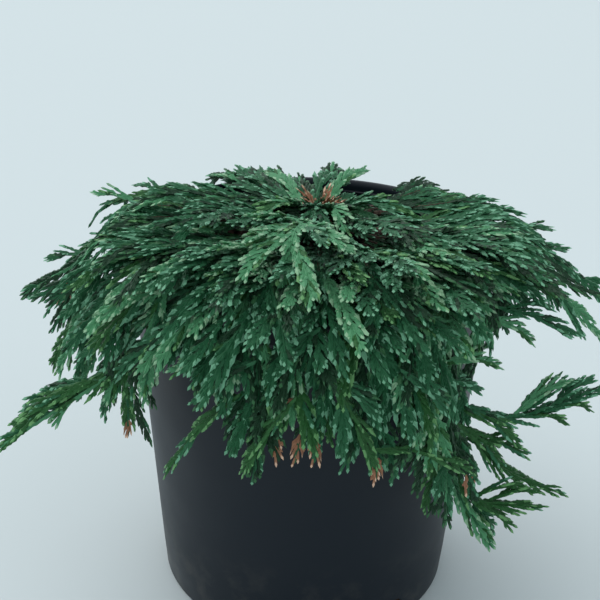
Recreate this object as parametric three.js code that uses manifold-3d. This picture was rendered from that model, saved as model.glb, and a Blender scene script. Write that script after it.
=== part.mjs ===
// Creeping juniper in a round black nursery pot.
// Millimetres, +Z up. The origin is the centre of the pot's flat underside, and -Y is the front.
// A short trunk stands in the compost. Boughs leave it on all sides, and each ends in two or three
// masses of foliage that arch over the rim and droop past it. Tufts on the trunk's head close the crown.
import * as THREE from "three";
import { mergeVertices } from "three/addons/utils/BufferGeometryUtils.js";
import Module from "manifold-3d";

const wasm = await Module();
wasm.setup();

// Driving sizes of the pot.
const POT_HEIGHT = 168;
const RIM_RADIUS = 84;
const WALL_TOP_RADIUS = 80.5;
const FOOT_RADIUS = 68.5;
const WALL = 1.5;
const FLOOR_TOP = 3;
const POT_SIDES = 40;
const HOLE_COUNT = 6;
const HOLE_WIDTH = 19;
const HOLE_LOW = 2;
const HOLE_HIGH = 13;
const HOLE_CORNER = 4;
const HOLE_DEPTH = 16;
const FIRST_HOLE = -117;
const BAND = 15;
const COMPOST_TOP = 149;
const COMPOST_GAP = 2;

// Driving sizes of the wood.
const CLEAR = 0.3;
const CROWN_X = 3;
const CROWN_Y = 3;
const TRUNK_RADIUS = 6;
const TRUNK_TOP = 175.5;
const BOUGH_REACH = 27;
const BOUGH_TIP_HEIGHTS = [171.5, 175.5];
const BOUGH_RADIUS = 1.8;
const BOUGH_TIP_RADIUS = 1.72;
const LOWEST_BOUGH = 157;
const HIGHEST_BOUGH = 168;
const TRUNK_PROFILE = [8.5, 6.8, 6.1, 5.8, 5.9, 6, 5.9, 5.6, 5];

// Each bough and its masses of foliage. A mass is its azimuth in degrees (0 is +X, 270 the front),
// its tip's reach from the pot's axis, the height of its crest over the rim and the height of its tip.
// Some hang first and then sweep out: these add the azimuth and height of the elbow where they turn.
const CREST_REACH = 89;
const ELBOW_REACH = 93;
const BOUGHS = {
  right: [[347, 120, 176, 137], [356, 128, 182, 146], [5, 106, 175, 160]],
  right_back: [[16, 102, 177, 162], [27, 101, 174, 164], [38, 99, 176, 167]],
  back_right: [[52, 97, 174, 166], [79, 93, 174, 170]],
  back_left: [[110, 95, 174, 168], [121, 96, 174, 167]],
  left_back: [[146, 103, 174, 166], [157, 101, 176, 158], [168, 99, 174, 151]],
  left: [[178, 109, 177, 151], [188, 126, 174, 145], [197, 115, 180, 136]],
  left_low: [[206, 116, 175, 126], [219, 97, 176, 102], [214, 147, 183, 108, 227, 152]],
  front_left: [[234, 108, 184, 138], [241, 108, 176, 106], [248, 108, 185, 140]],
  front_low: [[254, 108, 177, 150], [259, 107, 184, 112], [266, 106, 177, 137]],
  front: [[271, 107, 185, 122], [278, 106, 177, 141], [284, 107, 185, 113]],
  front_right: [[290, 107, 177, 131], [296, 108, 185, 112], [302, 106, 176, 82]],
  right_foot: [[315, 110, 176, 62, 307, 100], [313, 107, 185, 141], [323, 128, 184, 90, 323, 102]],
  right_low: [[340, 132, 176, 120, 330, 114], [333, 106, 185, 150], [339, 112, 177, 146]],
};

// Tufts on the trunk's head: azimuth, reach, height of the crest and height of the tip.
const TUFTS = [
  [61, 57, 182, 183],
  [97, 53, 183, 185],
  [134, 58, 180, 175],
  [192, 76, 191, 186],
  [227, 79, 194, 188],
  [264, 101, 197, 168],
  [306, 80, 192, 186],
];
const TUFT_ROOT = 4.6;
const TUFT_CREST = 0.8;

// Driving sizes of the foliage.
const SHOOT_STEP = 9;
const SHOOT_LENGTH = 56;
const SHOOT_ANGLE = 27;
const SHOOT_WIDTH = 7.5;
const STEM_WIDTH = 7.5;
const STEM_ROOT = 1.1;
const STEM_BARE = 0.22;
const SHOOT_ROOT = 0.9;
const SHOOT_BARE = 0.08;
const FORK = 3.1;
const FORK_BACK = 1;
const FULL_STEM = 110;
const STEM_UNDER = 0.5;
const SHOOT_UNDER = 0.4;
const FACE_FRONT = 0.7;
const DROOP = 0.08;
const TOOTH_STEP = 14.6;

const radians = THREE.MathUtils.degToRad;
const mix = THREE.MathUtils.lerp;
const UP = new THREE.Vector3(0, 0, 1);
const FRONT = new THREE.Vector3(0, -1, 0);
const trunkPath = new THREE.LineCurve3(
  new THREE.Vector3(0, 0, COMPOST_TOP),
  new THREE.Vector3(CROWN_X, CROWN_Y, TRUNK_TOP),
);

const BARK = new THREE.MeshStandardMaterial({ color: 0x6e5140, roughness: 0.9, metalness: 0 });
const PLASTIC = new THREE.MeshStandardMaterial({ color: 0x20262b, roughness: 0.45, metalness: 0 });
const COMPOST = new THREE.MeshStandardMaterial({ color: 0x2b1f18, roughness: 1, metalness: 0 });
const GREEN = new THREE.MeshStandardMaterial({ color: 0x2f6a4d, roughness: 0.7, metalness: 0 });

// Solids: a closed geometry as a solid, and the largest piece of a solid as a geometry.
function solidOf(geometry) {
  const bare = geometry.clone();
  bare.deleteAttribute("normal");
  bare.deleteAttribute("uv");
  const merged = mergeVertices(bare, 1e-4);
  return new wasm.Manifold(new wasm.Mesh({
    numProp: 3,
    vertProperties: merged.attributes.position.array,
    triVerts: new Uint32Array(merged.index.array),
  }));
}

function geometryOf(solid) {
  const largest = solid.decompose().sort((a, b) => b.volume() - a.volume())[0];
  const mesh = largest.getMesh();
  return new THREE.BufferGeometry()
    .setAttribute("position", new THREE.BufferAttribute(mesh.vertProperties, 3))
    .setIndex(new THREE.BufferAttribute(mesh.triVerts, 1));
}

function turned(profile) {
  const points = profile.map(([radius, height]) => new THREE.Vector2(radius, height));
  return new THREE.LatheGeometry(points, POT_SIDES).rotateX(Math.PI / 2);
}

// The pot: a tapered wall on a foot ring, with a stepped band under a rolled rim.
function wallRadius(height) {
  return mix(FOOT_RADIUS, WALL_TOP_RADIUS, height / POT_HEIGHT);
}

function potSolid() {
  const band = POT_HEIGHT - BAND;
  const shell = solidOf(turned([
    [0, 0],
    [FOOT_RADIUS - 2, 0],
    [FOOT_RADIUS, 2],
    [wallRadius(band), band],
    [RIM_RADIUS - 2, band + 2],
    [RIM_RADIUS - 1.6, POT_HEIGHT - 5],
    [RIM_RADIUS, POT_HEIGHT - 4],
    [RIM_RADIUS, POT_HEIGHT - 1],
    [RIM_RADIUS - 1, POT_HEIGHT],
    [RIM_RADIUS - 3, POT_HEIGHT],
    [RIM_RADIUS - 4, POT_HEIGHT - 1.2],
    [RIM_RADIUS - 4.4, band + 1.5],
    [wallRadius(band) - WALL, band - 1],
    [wallRadius(FLOOR_TOP) - WALL, FLOOR_TOP],
    [0, FLOOR_TOP],
  ]));
  let pot = shell;
  for (let i = 0; i < HOLE_COUNT; i++) {
    pot = pot.subtract(drainCutter(FIRST_HOLE + (i * 360) / HOLE_COUNT));
  }
  return pot;
}

// A drain hole is a slot with round top corners, low in the wall.
function drainCutter(azimuth) {
  const half = HOLE_WIDTH / 2;
  const shoulder = HOLE_HIGH - HOLE_CORNER;
  const slot = new THREE.Shape();
  slot.moveTo(-half, HOLE_LOW);
  slot.lineTo(half, HOLE_LOW);
  slot.lineTo(half, shoulder);
  slot.absarc(half - HOLE_CORNER, shoulder, HOLE_CORNER, 0, Math.PI / 2);
  slot.absarc(HOLE_CORNER - half, shoulder, HOLE_CORNER, Math.PI / 2, Math.PI);
  slot.closePath();
  const extrusion = { depth: HOLE_DEPTH, bevelEnabled: false, curveSegments: 3 };
  const cutter = new THREE.ExtrudeGeometry(slot, extrusion);
  cutter.rotateX(Math.PI / 2).translate(0, HOLE_DEPTH / 2 - FOOT_RADIUS, 0);
  return solidOf(cutter.rotateZ(radians(azimuth + 90)));
}

// Compost fills the pot to a little under the stepped band, and is flat on top where the trunk stands.
function compostSolid() {
  return solidOf(turned([
    [0, FLOOR_TOP],
    [wallRadius(FLOOR_TOP) - COMPOST_GAP, FLOOR_TOP],
    [wallRadius(COMPOST_TOP) - COMPOST_GAP, COMPOST_TOP - 3],
    [60, COMPOST_TOP - 1],
    [24, COMPOST_TOP],
    [0, COMPOST_TOP],
  ]));
}

// Bends an upright cylinder along a path. shape(u, corner) gives a corner's side, rise and forward
// offsets from the path, where u runs from 0 at the root to 1 at the tip.
function bent(path, sides, steps, pointed, frameAt, shape) {
  const blank = new THREE.CylinderGeometry(pointed ? 0 : 1, 1, 1, sides, steps);
  const place = blank.attributes.position;
  for (let i = 0; i < place.count; i++) {
    const step = Math.round((place.getY(i) + 0.5) * steps);
    const u = step / steps;
    const radius = Math.hypot(place.getX(i), place.getZ(i));
    const around = radius > 1e-6 ? Math.atan2(place.getX(i), place.getZ(i)) : null;
    const { origin, along, side, rise } = frameAt(path, u);
    const offset = around === null ? { side: 0, rise: 0, forward: 0 } : shape(u, around, step);
    origin.addScaledVector(side, offset.side);
    origin.addScaledVector(rise, offset.rise);
    origin.addScaledVector(along, offset.forward);
    place.setXYZ(i, origin.x, origin.y, origin.z);
  }
  return solidOf(blank);
}

// A frame on a path: along it, sideways and out of its face. face is the way that the face looks.
function facing(face) {
  return (path, u) => {
    const along = path.getTangentAt(u);
    const side = new THREE.Vector3().crossVectors(along, face).normalize();
    const rise = new THREE.Vector3().crossVectors(side, along);
    return { origin: path.getPointAt(u), along, side, rise };
  };
}

// A round tapering limb.
function limb(path, sides, steps, radiusAt, face) {
  return bent(path, sides, steps, false, facing(face), (u, around) => ({
    side: radiusAt(u) * Math.sin(around),
    rise: radiusAt(u) * Math.cos(around),
    forward: 0,
  }));
}

// A toothed blade that stands for a shoot with its scale leaves: three-sided, ridged on its face,
// with swept teeth along both edges and a pointed tip. under is how far its flat back lies below the
// path, and a shoot's back is a little above its stem's.
function blade(path, width, root, bare, under, face) {
  const steps = Math.round((path.getLength() * (1 - bare)) / TOOTH_STEP) * 2 + 1;
  const frame = facing(face);
  const frameAt = (line, u) => frame(line, u && bare + (1 - bare) * u);
  return bent(path, 3, steps, true, frameAt, (u, around, step) => {
    const envelope = width * Math.pow(1 - u, 0.45) * THREE.MathUtils.smoothstep(u, -0.25, 0.35);
    const tooth = step % 2 === 1;
    const reach = Math.max(step === 0 ? root : 0.8, envelope * (tooth ? 1 : 0.45));
    const ridge = Math.cos(around) > 0.5;
    return {
      side: ridge ? 0 : Math.sign(Math.sin(around)) * reach,
      rise: ridge ? Math.max(0.8, reach * 0.25) : -under,
      forward: tooth && !ridge ? reach * 0.8 : 0,
    };
  });
}

// The growing rule. chance() is from 0 to 1, and is always the same for one mass, shoot and purpose.
function chance(mass, shoot, purpose) {
  const wave = Math.sin(mass * 12.9898 + shoot * 78.233 + purpose * 37.719) * 43758.5453;
  return wave - Math.floor(wave);
}

// A point at an azimuth and a reach from the pot's axis, or from the crown's middle.
function at(azimuth, reach, height, x = 0, y = 0) {
  const turn = radians(azimuth);
  return new THREE.Vector3(x + reach * Math.cos(turn), y + reach * Math.sin(turn), height);
}

function fromCrown(azimuth, reach, height) {
  return at(azimuth, reach, height, CROWN_X, CROWN_Y);
}

// A mass's stem runs from its root over its crest to its tip.
function stemPath(start, crestReach, [azimuth, reach, crest, tip, elbowAzimuth, elbow]) {
  const stations = [start, at(elbowAzimuth ?? azimuth, crestReach, crest), at(azimuth, reach, tip)];
  if (elbow) stations.splice(2, 0, at(elbowAzimuth, ELBOW_REACH, elbow));
  return new THREE.CatmullRomCurve3(stations);
}

// The way a mass's foliage faces: up where the stem runs level, and outward where it hangs. Hanging
// foliage is also turned a little to the front.
function faceOf(mass, along) {
  const turn = FACE_FRONT * THREE.MathUtils.clamp(-along.z * 1.6, 0, 1);
  const face = new THREE.Vector3().crossVectors(along, mass.across).normalize();
  face.addScaledVector(FRONT, turn);
  return face.addScaledVector(along, -along.dot(face)).normalize();
}

// One shoot of a mass. Pairs of shoots change sides, and one in three stands up from the stem.
function shootOf(mass, index) {
  const draw = (purpose) => chance(mass.number, index, purpose);
  const last = mass.shoots - 1;
  const t = mix(0.03, 0.82, (index + 0.6 * draw(1)) / (last + 0.6));
  const along = mass.path.getTangentAt(t);
  const side = [1, -1, -1, 1][index % 4];
  const lean = index % 3 === 2 ? mix(4, 18, draw(2)) : mix(-16, 4, draw(2));
  const out = faceOf(mass, along);
  const sideways = new THREE.Vector3().crossVectors(out, along);
  const away = sideways.multiplyScalar(side * Math.cos(radians(lean)));
  away.addScaledVector(out, Math.sin(radians(lean)));
  const angle = radians(SHOOT_ANGLE + mix(-9, 9, draw(3)));
  const length = SHOOT_LENGTH * mass.vigour * mix(1, 0.38, t) * mix(0.78, 1.12, draw(4));
  const heading = along.clone().multiplyScalar(Math.cos(angle)).addScaledVector(away, Math.sin(angle));
  const root = mass.path.getPointAt(t);
  const middle = root.clone().addScaledVector(heading, length * 0.5);
  const end = middle.clone().addScaledVector(heading, length * 0.3).addScaledVector(along, length * 0.26);
  end.addScaledVector(UP, -length * DROOP);
  return { path: new THREE.QuadraticBezierCurve3(root, middle, end), face: out, length };
}

// A bough leaves the trunk nearly level, and is level again at its tip. Five places round the trunk
// for each place up it keep neighbours apart.
function boughPath(number, azimuth) {
  const count = Object.keys(BOUGHS).length;
  const height = mix(LOWEST_BOUGH, HIGHEST_BOUGH, ((number * 5) % count) / (count - 1));
  const tipHeight = BOUGH_TIP_HEIGHTS[number % 2];
  const heart = trunkPath.getPoint((height - COMPOST_TOP) / (TRUNK_TOP - COMPOST_TOP));
  return new THREE.CubicBezierCurve3(
    at(azimuth, TRUNK_RADIUS + CLEAR, height, heart.x, heart.y),
    at(azimuth, BOUGH_REACH * 0.45, height + 0.5, heart.x, heart.y),
    fromCrown(azimuth, BOUGH_REACH * 0.65, tipHeight - 1),
    fromCrown(azimuth, BOUGH_REACH, tipHeight),
  );
}

// A mass of foliage with its stem's path, the direction across it and its count of shoots. The shoots
// of a short stem are shorter.
function massOf(name, start, crestReach, spec) {
  const turn = radians(spec[0]);
  const path = stemPath(start, crestReach, spec);
  masses.push({
    name,
    path,
    number: masses.length + 1,
    across: new THREE.Vector3(-Math.sin(turn), Math.cos(turn), 0),
    shoots: 2 * Math.round(path.getLength() / SHOOT_STEP / 2),
    vigour: Math.min(1, path.getLength() / FULL_STEM),
    pieces: [],
  });
}

const plant = new THREE.Group();
const parts = [];
const masses = [];

function add(name, solid, material) {
  const mesh = new THREE.Mesh(geometryOf(solid), material);
  mesh.name = name;
  plant.add(mesh);
  parts.push({ name, solid, box: solid.boundingBox() });
}

// The trunk's rings stay level, so its foot is cut flat on the compost.
function level(path, u) {
  return {
    origin: path.getPoint(u),
    along: UP,
    side: new THREE.Vector3(0, 1, 0),
    rise: new THREE.Vector3(1, 0, 0),
  };
}

add("pot", potSolid(), PLASTIC);
add("compost", compostSolid(), COMPOST);
add("trunk", bent(trunkPath, 12, TRUNK_PROFILE.length - 1, false, level, (u, around, step) => ({
  side: TRUNK_PROFILE[step] * Math.sin(around),
  rise: TRUNK_PROFILE[step] * Math.cos(around),
  forward: 0,
})), BARK);

// A bough's masses fork from its tip: the middle one goes on from the tip, and the others start beside it.
Object.entries(BOUGHS).forEach(([name, specs], number) => {
  const [first, last] = [specs[0], specs[specs.length - 1]].map((spec) => spec[4] ?? spec[0]);
  const azimuth = first + THREE.MathUtils.euclideanModulo(last - first, 360) / 2;
  const path = boughPath(number, azimuth);
  add("bough_" + name, limb(path, 5, 4, (u) => mix(BOUGH_RADIUS, BOUGH_TIP_RADIUS, u), UP), BARK);
  const tip = path.getPoint(1);
  const onward = path.getTangent(1);
  const across = new THREE.Vector3(-onward.y, onward.x, 0).normalize();
  specs.forEach((spec, fork) => {
    const place = fork - (specs.length - 1) / 2;
    const start = tip.clone().addScaledVector(across, Math.sign(place) * FORK);
    start.addScaledVector(onward, place ? -FORK_BACK : CLEAR + 0.25);
    massOf(`foliage_${name}_${fork + 1}`, start, CREST_REACH, spec);
  });
});
TUFTS.forEach((spec, number) => {
  const start = fromCrown(spec[0], TUFT_ROOT, TRUNK_TOP + CLEAR + STEM_UNDER + 0.1);
  massOf(`crown_tuft_${number + 1}`, start, spec[1] * TUFT_CREST, spec);
});

// A new blade is kept only where it clears every limb and every other mass.
function boxesMeet(a, b) {
  return [0, 1, 2].every((axis) => a.min[axis] < b.max[axis] + 1 && b.min[axis] < a.max[axis] + 1);
}

function clears(solid, owner) {
  const box = solid.boundingBox();
  const near = [...parts, ...grown].filter((other) => other.name !== owner && boxesMeet(box, other.box));
  return near.every((other) => other.solid.minGap(solid, CLEAR) >= CLEAR * 0.95);
}

// Every stem is grown first, and then one shoot of each mass in turn, so that neighbours share the
// space between them. Only every other shoot of the rule is large enough to have a solid of its own.
const grown = [];
function grow(mass, solid) {
  grown.push({ name: mass.name, solid, box: solid.boundingBox() });
  mass.pieces.push(solid);
}

for (const mass of masses) {
  const face = faceOf(mass, mass.path.getTangentAt(0.5));
  const stem = blade(mass.path, STEM_WIDTH, STEM_ROOT, STEM_BARE, STEM_UNDER, face);
  if (!clears(stem, mass.name)) throw new Error(mass.name + " has no room for its stem");
  grow(mass, stem);
}
const mostShoots = Math.max(...masses.map((mass) => mass.shoots));
for (let index = 0; index < mostShoots; index += 2) {
  for (const mass of masses.filter((each) => index < each.shoots)) {
    const shoot = shootOf(mass, index);
    const width = SHOOT_WIDTH * mix(0.7, 1, shoot.length / SHOOT_LENGTH);
    const solid = blade(shoot.path, width, SHOOT_ROOT, SHOOT_BARE, SHOOT_UNDER, shoot.face);
    if (clears(solid, mass.name)) grow(mass, solid);
  }
}
for (const mass of masses) add(mass.name, wasm.Manifold.union(mass.pieces), GREEN);

export default plant;
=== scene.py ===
# A creeping juniper in a round black nursery pot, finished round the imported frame.
# Growth is worked out in millimetres by the same rule as the part's source, and carried to finer twigs.
import math

import bmesh
import bpy
import numpy as np
from bpy.props import FloatProperty, FloatVectorProperty, IntProperty, PointerProperty
from mathutils import Matrix, Vector, noise


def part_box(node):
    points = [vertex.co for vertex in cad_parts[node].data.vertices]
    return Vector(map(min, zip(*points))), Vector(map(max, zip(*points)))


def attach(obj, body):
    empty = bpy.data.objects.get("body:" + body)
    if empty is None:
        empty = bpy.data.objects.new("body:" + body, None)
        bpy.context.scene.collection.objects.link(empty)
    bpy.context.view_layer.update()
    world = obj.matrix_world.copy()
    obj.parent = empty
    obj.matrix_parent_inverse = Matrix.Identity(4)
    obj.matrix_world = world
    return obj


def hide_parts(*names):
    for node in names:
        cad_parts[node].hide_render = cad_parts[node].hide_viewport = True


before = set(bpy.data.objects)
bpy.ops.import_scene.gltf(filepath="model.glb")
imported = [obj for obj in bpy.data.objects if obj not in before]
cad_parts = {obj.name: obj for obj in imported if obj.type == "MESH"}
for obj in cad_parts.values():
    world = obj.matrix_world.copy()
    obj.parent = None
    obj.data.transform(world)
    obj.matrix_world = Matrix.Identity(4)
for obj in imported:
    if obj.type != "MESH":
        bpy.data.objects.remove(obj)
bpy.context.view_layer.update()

bl_info = {
    "name": "Creeping juniper in a nursery pot",
    "version": (1, 0, 0),
    "blender": (4, 5, 0),
    "location": "3D View > Sidebar > Juniper",
    "description": "Builds the pot, compost, wood, foliage and stage round the packed frame",
    "category": "Object",
}

MM = 0.001
TOUCH = 1e-6

# The pot, in mm, from the frame and from the source's driving sizes.
POT_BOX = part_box("pot")
POT_HEIGHT = (POT_BOX[1][2] - POT_BOX[0][2]) / MM
RIM_RADIUS = (POT_BOX[1][0] - POT_BOX[0][0]) / 2 / MM
WALL_TOP_RADIUS = RIM_RADIUS - 3.5
FOOT_RADIUS = 68.5
WALL = 1.5
WALL_RINGS = [14.5, 60, 110]
FLOOR_TOP = 3
BAND = 15
HOLE_COUNT = 6
HOLE_WIDTH = 19
HOLE_LOW = 2
HOLE_HIGH = 13
HOLE_CORNER = 4
HOLE_DEPTH = 16
FIRST_HOLE = -117
RIB_COUNT = 4
FIRST_RIB = 5.6
RIB_STEP = 2.9
RIB_HEIGHT = 0.45
RIB_FOOT = 0.7
RIB_CREST = 0.25
LIP = 4.25
SHARP_EDGE = math.radians(35)

# The compost and the loose chips on it.
COMPOST_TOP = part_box("compost")[1][2] / MM
COMPOST_GAP = 2
COMPOST_SINK = 3
COMPOST_LEVEL = 24
LUMPS_PER_METRE = [90, 330]
TRUNK_CLEARANCE = 11
CHIP_SEED = 5
CHIP_TILT = 0.3
CHIP_WIDTH = 0.22
CHIP_THICKNESS = 0.1
CHIP_TAPER = 0.55

# Sizes of the grains of each pattern. The mould's grain is drawn coarser than it is, so that it shows.
DUST_PATCH = 14.3
SCUFF = 41.7
MOULD_GRAIN = 1.11
CRUMB = 3.125
BARK_FLECK = 4.17
BARK_FIBRE = 2.38

# The wood.
CLEAR = 0.3
CROWN = np.array([3.0, 3.0, 0.0])
TRUNK_RADIUS = 6
TRUNK_TOP = 175.5
TRUNK_PROFILE = [8.5, 6.8, 6.1, 5.8, 5.9, 6, 5.9, 5.6, 5]
BOUGH_REACH = 27
BOUGH_TIP_HEIGHTS = [171.5, 175.5]
BOUGH_RADIUS = 1.8
BOUGH_TIP_RADIUS = 1.72
LOWEST_BOUGH = 157
HIGHEST_BOUGH = 168
STRIPS_ROUND = 2.6
STRIP_RUN = 0.06
STRIP_CONTRAST = 3

# Each bough and its masses of foliage: azimuth, reach, height of the crest over the rim and height of
# the tip, then the azimuth and height of the elbow of those that hang first and sweep out lower down.
CREST_REACH = 89
ELBOW_REACH = 93
BOUGHS = {
    "right": [[347, 120, 176, 137], [356, 128, 182, 146], [5, 106, 175, 160]],
    "right_back": [[16, 102, 177, 162], [27, 101, 174, 164], [38, 99, 176, 167]],
    "back_right": [[52, 97, 174, 166], [79, 93, 174, 170]],
    "back_left": [[110, 95, 174, 168], [121, 96, 174, 167]],
    "left_back": [[146, 103, 174, 166], [157, 101, 176, 158], [168, 99, 174, 151]],
    "left": [[178, 109, 177, 151], [188, 126, 174, 145], [197, 115, 180, 136]],
    "left_low": [[206, 116, 175, 126], [219, 97, 176, 102], [214, 147, 183, 108, 227, 152]],
    "front_left": [[234, 108, 184, 138], [241, 108, 176, 106], [248, 108, 185, 140]],
    "front_low": [[254, 108, 177, 150], [259, 107, 184, 112], [266, 106, 177, 137]],
    "front": [[271, 107, 185, 122], [278, 106, 177, 141], [284, 107, 185, 113]],
    "front_right": [[290, 107, 177, 131], [296, 108, 185, 112], [302, 106, 176, 82]],
    "right_foot": [[315, 110, 176, 62, 307, 100], [313, 107, 185, 141], [323, 128, 184, 90, 323, 102]],
    "right_low": [[340, 132, 176, 120, 330, 114], [333, 106, 185, 150], [339, 112, 177, 146]],
}
TUFTS = [
    [61, 57, 182, 183],
    [97, 53, 183, 185],
    [134, 58, 180, 175],
    [192, 76, 191, 186],
    [227, 79, 194, 188],
    [264, 101, 197, 168],
    [306, 80, 192, 186],
]
LIGHTEST = "crown_tuft_6"
TUFT_ROOT = 4.6
TUFT_CREST = 0.8
FORK = 3.1
FORK_BACK = 1
STEM_UNDER = 0.5

# The shoots of a mass, as in the source.
SHOOT_STEP = 9
SHOOT_LENGTH = 56
SHOOT_ANGLE = 27
SHORTEST_SHOOT = 7
FULL_STEM = 110
SHOOT_SHARES = [0.03, 0.82]
SHOOT_JITTER = 0.6
SHOOT_LEANS = [-16, 4]
RAISED_LEANS = [4, 18]
SHOOT_SPREAD = 9
SHOOT_VIGOUR = [0.78, 1.12]
LAST_SHOOT = 0.38
FACE_FRONT = 0.7
DROOP = 0.08
UP = np.array([0.0, 0.0, 1.0])
EAST = np.array([1.0, 0.0, 0.0])
FRONT = np.array([0.0, -1.0, 0.0])

# Tips hang from the first of these heights down to the second.
HANGING = [150, 70]

# Short sprays close the crown's middle. They stand round the trunk's head a golden angle apart, and
# those at the front lie higher.
CROWN_SPRAYS = 50
GOLDEN_ANGLE = 137.5
CROWN_SPRAY_REACH = [9, 50]
CROWN_SPRAY_CRESTS = [179, 191]

# Dead tips: azimuth, reach, height and the size of the patch.
DRY_PLACES = [
    (330, 4, 185, 9),
    (268, 105, 122, 11),
    (281, 106, 116, 8),
    (309, 106, 100, 6),
    (218, 97, 106, 8),
    (197, 105, 160, 4),
    (350, 60, 185, 4),
    (268, 107, 150, 4),
]

# The crown's outline as the photograph shows it: the azimuth, and the height of its top at each reach.
OUTLINE_REACHES = [55, 75, 90, 105, 120]
OUTLINE = [
    (-40, 200, 200, 198, 190, 184),
    (-20, 200, 191, 184, 173, 162),
    (0, 191, 184, 178, 165, 152),
    (20, 184, 179, 171, 163, 151),
    (45, 180, 173, 168, 161, 152),
    (80, 178, 172, 168, 163, 156),
    (100, 177, 171, 168, 163, 156),
    (120, 179, 172, 169, 163, 155),
    (148, 181, 174, 169, 162, 145),
    (160, 185, 178, 174, 169, 145),
    (170, 189, 181, 171, 154, 140),
    (185, 195, 189, 168, 156, 148),
    (195, 198, 193, 179, 161, 151),
    (205, 200, 198, 186, 168, 158),
    (220, 205, 204, 196, 182, 172),
    (300, 205, 205, 205, 205, 200),
]
SETTLE = 7
RIM_REST = 2.4
REST_FROM = [70, 78]
REST_TO = [90, 96]
POT_CLEARANCE = 0.8

# How far a shoot may reach past the outline, least and greatest, then a stem, the fingers on a stem, a
# spray inside the crown, any finger beyond its axis, and a placed shoot, which is never trimmed.
SPARE = [-2.5, 2.2]
STEM_SPARE = 2.5
STEM_FINGER_SPARE = 1.5
INNER_SPARE = 1.0
FINGER_SPARE = 1
FREE = 100.0

# Stems whose elbow is at a smaller azimuth aren't trimmed, because placed shoots leave from them.
WHOLE_BELOW = 320

# The lower edge of the fringe in front, by azimuth.
LOWER_EDGE = [
    (230, 116), (239, 102), (247, 133), (252, 131), (257, 109), (262, 122), (274, 123), (284, 109),
    (290, 114), (298, 94), (307, 69), (322, 50),
]

# Places that the plumes leave open to the ground, the wall or the rim: azimuths, reaches and heights.
WINDOWS = [
    (322, 346, 87, 150, 118, 150),
    (198, 210, 96, 150, 88, 119),
    (200, 228, 116, 150, 80, 101),
    (42, 76, 29, 90, 167, 205),
    (50, 78, 43, 150, 150, 205),
    (87, 108, 63, 150, 150, 205),
    (127, 142, 64, 150, 150, 205),
    (186, 195, 112, 130, 120, 143),
    (214, 221, 122, 141, 95, 117),
    (219, 227, 107, 125, 105, 126),
    (226, 238, 81, 92, 95, 150),
    (231, 243, 90, 101, 104, 153),
    (236, 245, 99, 125, 112, 150),
    (300, 326, 101, 135, 125, 172),
    (328, 337, 105, 130, 90, 104),
    (314, 330, 84, 100, 106, 126),
    (326, 341, 99, 150, 150, 164),
]
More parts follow.
